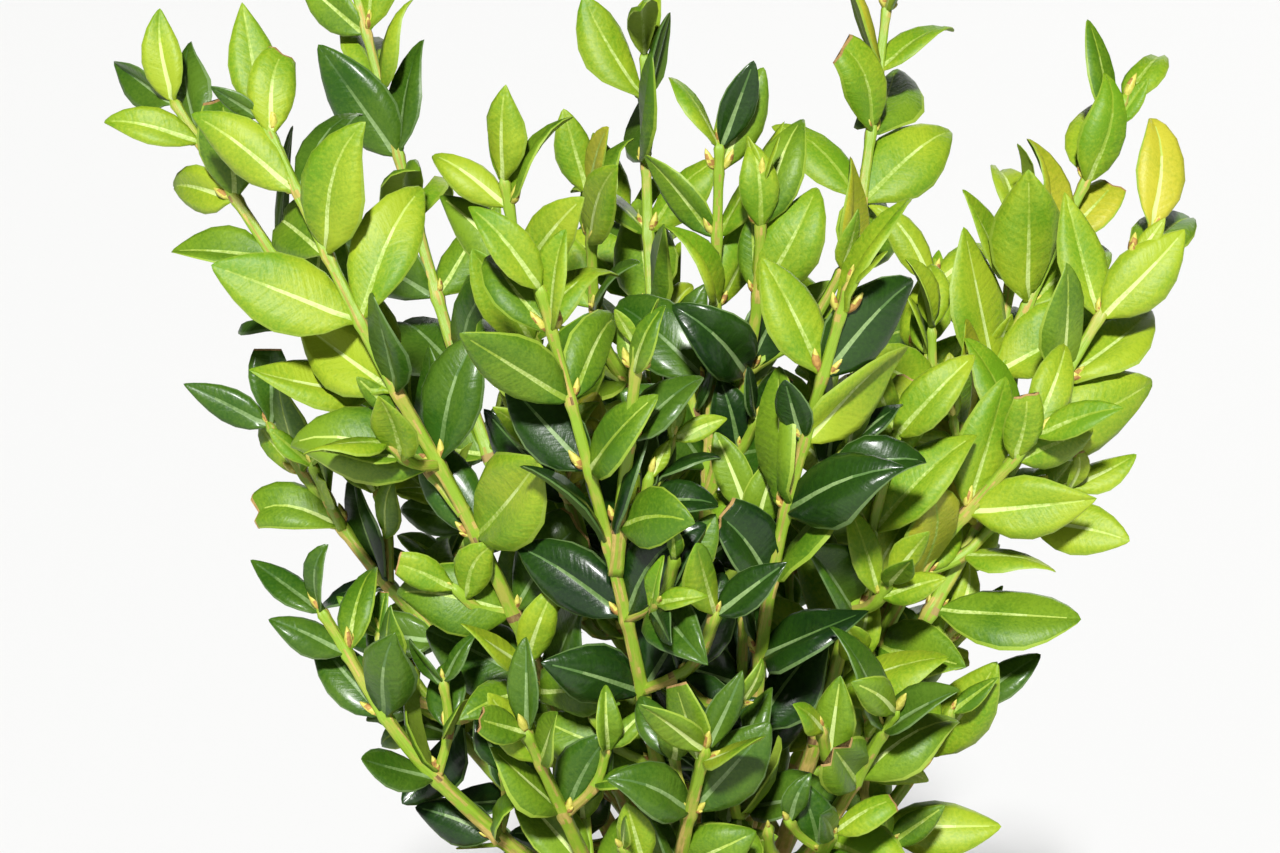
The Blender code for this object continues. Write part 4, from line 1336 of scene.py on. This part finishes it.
def grainy(name, light, dark, spot_mm, grain_mm, relief_mm, roughness, ior=1.5):
    """A dry surface: two near colours in blotches over a fine grain, both by noise."""
    material, tree = new_material(name)
    here = add_node(tree, "TexCoord").outputs["Object"]
    wide = {"Vector": here, "Scale": per_metre(spot_mm), "Detail": 5.0, "Roughness": 0.6}
    spots = add_node(tree, "TexNoise", wide).outputs["Fac"]
    fine = {"Vector": here, "Scale": per_metre(grain_mm), "Detail": 3.0, "Roughness": 0.7}
    grain = add_node(tree, "TexNoise", fine).outputs["Fac"]
    share = add_node(tree, "MapRange", {"Value": spots, "From Min": 0.35, "From Max": 0.68})
    relief = add_node(tree, "Bump", {"Height": grain, "Strength": 0.6, "Distance": relief_mm * MM})
    finish(tree, (dark, light), share.outputs["Result"], relief, {"Roughness": roughness, "IOR": ior})
    return material


bud_cream = grainy("cream_bud_scales", "#C9C05E", "#A3A03A", 0.5, 0.5, 0.15, 0.50, 1.45)
bud_rust = grainy("rusty_bud_scales", "#B28A44", "#7A5526", 0.5, 0.5, 0.15, 0.70, 1.45)
print("bud finishes:", bud_cream.name, bud_rust.name)

# %% Place the buds
Bud = namedtuple("Bud", "root along side length width rust")
TIP_BUD_BACK = 0.8 * MM
AXIL_OVER_NODE = 0.6 * MM
BUD_WIDTH, TIP_BUD_WIDTH, SCALE_WIDTH = 0.44, 0.36, 0.5
BudRank = namedtuple("BudRank", "twigs tip_size axil_size chance scales")
BUD_RANKS = (BudRank(shoots, 1.0, 1.0, 0.75, True), BudRank(side_shoots + fine_twigs, 0.7, 0.8, 0.35, False))


def bud_blank():
    """A pointed bud as (across, across, along), six-sided.

    A sphere's faces can come in another order on the next run, so they are put in order: each starts
    from its lowest corner, and the dice that colour them then fall the same way every time.
    """
    bm = bmesh.new()
    bmesh.ops.create_uvsphere(bm, u_segments=6, v_segments=6, radius=1)
    for vert in bm.verts:
        share = (vert.co.z + 1) / 2
        wide = math.sin(math.pi * min(share**0.72, 1.0)) ** 0.8 if 0 < share < 1 else 0.0
        flat = Vector((vert.co.x, vert.co.y, 0))
        flat = flat.normalized() * wide if flat.length > 1e-6 else flat
        vert.co = (flat.x, flat.y, share)
    points, faces = taken_apart(bm)
    starts = [face.index(min(face)) for face in faces]
    return points, sorted(face[start:] + face[:start] for face, start in zip(faces, starts))


def node_buds(rank, twig, distance, rng):
    """The buds of one node: one in each axil, and on a main shoot a pair of dry scales."""
    place, tangent = walk(twig.route, distance + AXIL_OVER_NODE)
    side = tangent.cross(light_at(place)).normalized()
    share = (distance - twig.start) / (twig.end - twig.start)
    for out in (side, -side):
        if rng.random() > rank.chance:
            continue
        lean = (tangent * 0.92 + out * 0.38).normalized()
        root = place + out * twig.radius * 0.7
        size = rng.uniform(3.0, 4.8) * MM * (0.75 + 0.3 * share) * rank.axil_size
        yield Bud(root, lean, out, size, BUD_WIDTH * size, rng.random() < 0.55)
        if rank.scales and rng.random() < 0.7:
            swing = Quaternion(tangent, rng.choice((-0.6, 0.6))) @ out
            splayed = (tangent * 0.75 + swing * 0.66).normalized()
            small = size * rng.uniform(0.5, 0.75)
            yield Bud(root, splayed, swing, small, SCALE_WIDTH * small, rng.random() < 0.7)


def place_buds():
    """Buds in the upper axils and at the tips, and dry scales at the older nodes."""
    rng = random.Random(77)
    buds = []
    for rank in BUD_RANKS:
        for twig in rank.twigs:
            tip, tangent = walk(twig.route, twig.end - TIP_BUD_BACK)
            side = tangent.orthogonal().normalized()
            size = rng.uniform(3.6, 5.2) * MM * rank.tip_size
            buds.append(Bud(tip, tangent, side, size, TIP_BUD_WIDTH * size, False))
            for distance in node_distances(twig.start, twig.end)[:-1]:
                buds += node_buds(rank, twig, distance, rng)
    return buds


def join_buds(buds):
    blank, faces = bud_blank()
    rng = random.Random(78)
    heap = Heap()
    for bud in buds:
        third = bud.along.cross(bud.side).normalized()
        axes = np.array([tuple(bud.side), tuple(third), tuple(bud.along)])
        scaled = blank * np.array([bud.width / 2, bud.width / 2, bud.length])
        rusty = 0.55 if bud.rust else 0.25
        slots = []
        for face in faces:
            high = sum(blank[i][2] for i in face) / len(face)
            slots.append(int(rng.random() < rusty and high < 0.8))
        heap.add(np.array(tuple(bud.root)) + scaled @ axes, faces, slots, blank[:, :2] * 0.5 + 0.5)
    print(len(buds), "buds,", len(heap.faces), "faces")
    return heap.to_piece("buds", [bud_cream, bud_rust])


buds_piece = join_buds(place_buds())

# %% [markdown]
# ## Pot and soil
#
# The pot is plain fired clay with a rim band, pressed and turned, so it is a profile spun round the
# axis. Its edges are softened in the profile itself. Fired clay is matt and orange-brown, in paler and
# darker clouds. The soil is a spun mound whose surface is pushed up and down by noise, with loose crumbs
# on it. Moist soil is almost black-brown and hardly shines, and its dry crumbs are paler. Both could be
# sculpted, but a spun profile stays exact where the frame needs it.

# %% Clay and soil finishes
fired_clay = grainy("fired_terracotta", "#B67550", "#99512F", 16.0, 0.6, 0.25, 0.85)
potting_soil = grainy("moist_potting_soil", "#3C2D21", "#211811", 3.0, 0.7, 0.8, 0.95, 1.05)
dry_crumbs = grainy("dry_soil_crumbs", "#5E4833", "#3E2E20", 1.5, 0.5, 0.3, 0.95, 1.05)
print("finishes:", fired_clay.name, potting_soil.name, dry_crumbs.name)

# %% Spin the pot
POT_SPIN = 96


def spun(profile):
    """A closed solid spun round Z from a profile that starts and ends on the axis."""
    bm = bmesh.new()
    verts = [bm.verts.new((radius, 0, height)) for radius, height in profile]
    geom = verts + [bm.edges.new(pair) for pair in zip(verts, verts[1:])]
    turn = dict(cent=(0, 0, 0), axis=(0, 0, 1), angle=math.tau, steps=POT_SPIN, use_merge=True)
    bmesh.ops.spin(bm, geom=geom, **turn)
    bmesh.ops.remove_doubles(bm, verts=bm.verts, dist=1e-6)
    for face in bm.faces:
        face.smooth = True
    return bm


def pot_wall(height):
    return POT_FOOT_RADIUS + height / POT_HEIGHT * (POT_RIM_RADIUS - POT_BAND_STEP - POT_FOOT_RADIUS)


def rounded(corner, before, after, radius, steps=4):
    """Points that round a corner of the profile."""
    corner, before, after = Vector(corner), Vector(before), Vector(after)
    start = corner + (before - corner).normalized() * radius
    end = corner + (after - corner).normalized() * radius
    points = []
    for step in range(steps + 1):
        t = step / steps
        points.append(tuple((1 - t) ** 2 * start + 2 * t * (1 - t) * corner + t**2 * end))
    return points


def pot_profile():
    """From the middle of the floor up the inside, over the rim and its band, and down to the foot."""
    band_low = POT_HEIGHT - POT_BAND_HEIGHT
    corners = [
        ((0, POT_FLOOR), 0),
        ((pot_wall(POT_FLOOR) - POT_WALL, POT_FLOOR), 1.5 * MM),
        ((pot_wall(POT_HEIGHT) - POT_WALL, POT_HEIGHT), 1.6 * MM),
        ((POT_RIM_RADIUS - 0.2 * MM, POT_HEIGHT), 1.8 * MM),
        ((POT_RIM_RADIUS - 1.6 * MM, band_low), 1.4 * MM),
        ((pot_wall(band_low), band_low - 0.8 * MM), 0.9 * MM),
        ((POT_FOOT_RADIUS, 0), 1.4 * MM),
        ((0, 0), 0),
    ]
    points = []
    for index, (corner, radius) in enumerate(corners):
        if radius:
            points += rounded(corner, corners[index - 1][0], corners[index + 1][0], radius)
        else:
            points.append(corner)
    return points


pot_piece = piece_from(spun(pot_profile()), "clay_pot", [fired_clay])
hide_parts("pot")

# %% Spin the soil
SOIL_RINGS = 34
SOIL_EASE = 1.5 * GAP  # between the soil and the pot
LUMP_WIDE, LUMP_HIGH, LUMP_SINKS = 4 * MM, 0.9, 0.6
PLAIN_WITHIN = 9 * MM  # round the stem


def soil_profile():
    """The mound from its middle out to the pot, and down along the pot to its floor."""
    rim = pot_wall(SOIL_LEVEL - SOIL_FALL) - POT_WALL - SOIL_EASE
    rings = range(SOIL_RINGS + 1)
    top = [(rim * ring / SOIL_RINGS, SOIL_LEVEL - SOIL_FALL * (ring / SOIL_RINGS) ** 2) for ring in rings]
    low = POT_FLOOR + GAP
    return [*top, (pot_wall(low) - POT_WALL - SOIL_EASE, low), (0, low)]


def lump_at(place):
    """How far the soil rises or sinks from its plain surface at a place on it."""
    return (LUMP_HIGH * noise.fractal(place / LUMP_WIDE, 0.8, 2.0, 4) - LUMP_SINKS) * MM


def roughen(bm):
    """Lumps on the surface of the soil, but not where it meets the stem."""
    for vert in bm.verts:
        radius = math.hypot(vert.co.x, vert.co.y)
        if vert.co.z > SOIL_LEVEL - 2 * SOIL_FALL and radius > PLAIN_WITHIN:
            vert.co.z += lump_at(vert.co)


soil_bm = spun(soil_profile())
roughen(soil_bm)
soil_piece = piece_from(soil_bm, "soil_mound", [potting_soil])
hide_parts("soil")

# %% Scatter crumbs
CRUMBS = 1100
CRUMBS_REACH = 49.5 * MM
CRUMBS_FROM = 0.07  # of the surface, so that none lies in the stem
SMALLEST_CRUMB = 0.35 * MM
DRY_SHARE = 0.3


def crumb_blank():
    bm = bmesh.new()
    bmesh.ops.create_icosphere(bm, subdivisions=1, radius=1)
    for vert in bm.verts:
        vert.co = vert.co * (1 + 0.25 * noise.noise(vert.co * 1.7))
    return taken_apart(bm)


def scatter_crumbs(count):
    rng = random.Random(41)
    blank, faces = crumb_blank()
    heap = Heap()
    for _ in range(count):
        radius = CRUMBS_REACH * math.sqrt(rng.uniform(CRUMBS_FROM, 1.0))
        angle = rng.uniform(0, math.tau)
        size = SMALLEST_CRUMB * math.exp(rng.uniform(0, 1.35))
        turn = np.array(Matrix.Rotation(rng.uniform(0, math.tau), 3, (rng.random(), rng.random(), 1)))
        stretch = np.array([rng.uniform(0.7, 1.3), rng.uniform(0.7, 1.3), rng.uniform(0.5, 0.9)]) * size
        fall = SOIL_FALL * (radius / CRUMBS_REACH) ** 2
        centre = Vector((radius * math.cos(angle), radius * math.sin(angle), SOIL_LEVEL - fall))
        centre.z += lump_at(centre) + 0.3 * size
        slots = [int(rng.random() < DRY_SHARE)] * len(faces)
        heap.add(np.array(tuple(centre)) + (blank * stretch) @ turn, faces, slots, blank[:, :2] * 0.5 + 0.5)
    print(count, "crumbs,", len(heap.faces), "faces")
    return heap.to_piece("soil_crumbs", [potting_soil, dry_crumbs])


crumbs_piece = scatter_crumbs(CRUMBS)

# %% [markdown]
# ## Floor, light and camera
#
# The shrub stands on a wide pale floor that runs out behind it, so there is no horizon in the picture.
# One key light comes from just above the camera and a little to its left, and it is narrow enough to
# cast clear shadows from leaf to leaf. A weak wide light from behind lifts the far edges, and the floor
# and a faint pale sky fill the rest. The camera looks slightly down from close by, with a long lens.

# %% Floor
FLOOR_RADIUS = 25
bm = bmesh.new()
bmesh.ops.create_circle(bm, cap_ends=True, segments=96, radius=FLOOR_RADIUS)
floor_mesh = bpy.data.meshes.new("floor")
bm.to_mesh(floor_mesh)
bm.free()
floor_mesh.materials.append(grainy("matt_white_floor", "#E8E8E7", "#E8E8E7", 300.0, 2.0, 0.02, 0.95))
floor = new_object("floor", floor_mesh)
print("floor:", 2 * FLOOR_RADIUS, "m across")

# %% Light
SKY_STRENGTH = 0.03
scene = bpy.context.scene
world = bpy.data.worlds.new("studio_sky")
world.use_nodes = True
sky = world.node_tree.nodes["Background"]
sky.inputs["Color"].default_value = (1.0, 1.0, 1.0, 1)
sky.inputs["Strength"].default_value = SKY_STRENGTH
scene.world = world


def far_light(name, energy, spread, source):
    """A distant soft lamp. Its source is the direction that the light comes from."""
    lamp = bpy.data.lights.new(name, "SUN")
    lamp.energy = energy
    lamp.angle = math.radians(spread)
    holder = new_object(name, lamp)
    holder.rotation_mode = "QUATERNION"
    holder.rotation_quaternion = Vector(source).to_track_quat("Z", "Y")
    print(name + ":", energy, "W/m2 over", spread, "degrees")


far_light("key_light", 6.4, 5, (-0.06, -0.90, 0.52))
far_light("back_fill", 1.0, 40, (0.25, 0.85, 0.45))
scene.view_settings.view_transform = "Standard"

# %% Camera
VIEW_WIDTH = 230 * MM  # what the picture's width spans at the stem
VIEW_DISTANCE = 620 * MM
VIEW_TILT = math.radians(8)
VIEW_TARGET = Vector((-10.8 * MM, 0, 203 * MM))
camera = bpy.data.cameras.new("camera")
camera.sensor_width = 36
camera.lens = camera.sensor_width * VIEW_DISTANCE / VIEW_WIDTH
camera.clip_start = 0.02
camera.clip_end = 100
back = Vector((0, -math.cos(VIEW_TILT), math.sin(VIEW_TILT)))
scene.camera = new_object("camera", camera)
scene.camera.location = VIEW_TARGET + back * VIEW_DISTANCE
scene.camera.rotation_mode = "QUATERNION"
scene.camera.rotation_quaternion = back.to_track_quat("Z", "Y")
print("lens:", round(camera.lens, 1), "mm")

# %% Sizes of the frame
print("cad box:", [[round(v, 4) for v in c] for c in cad_box])
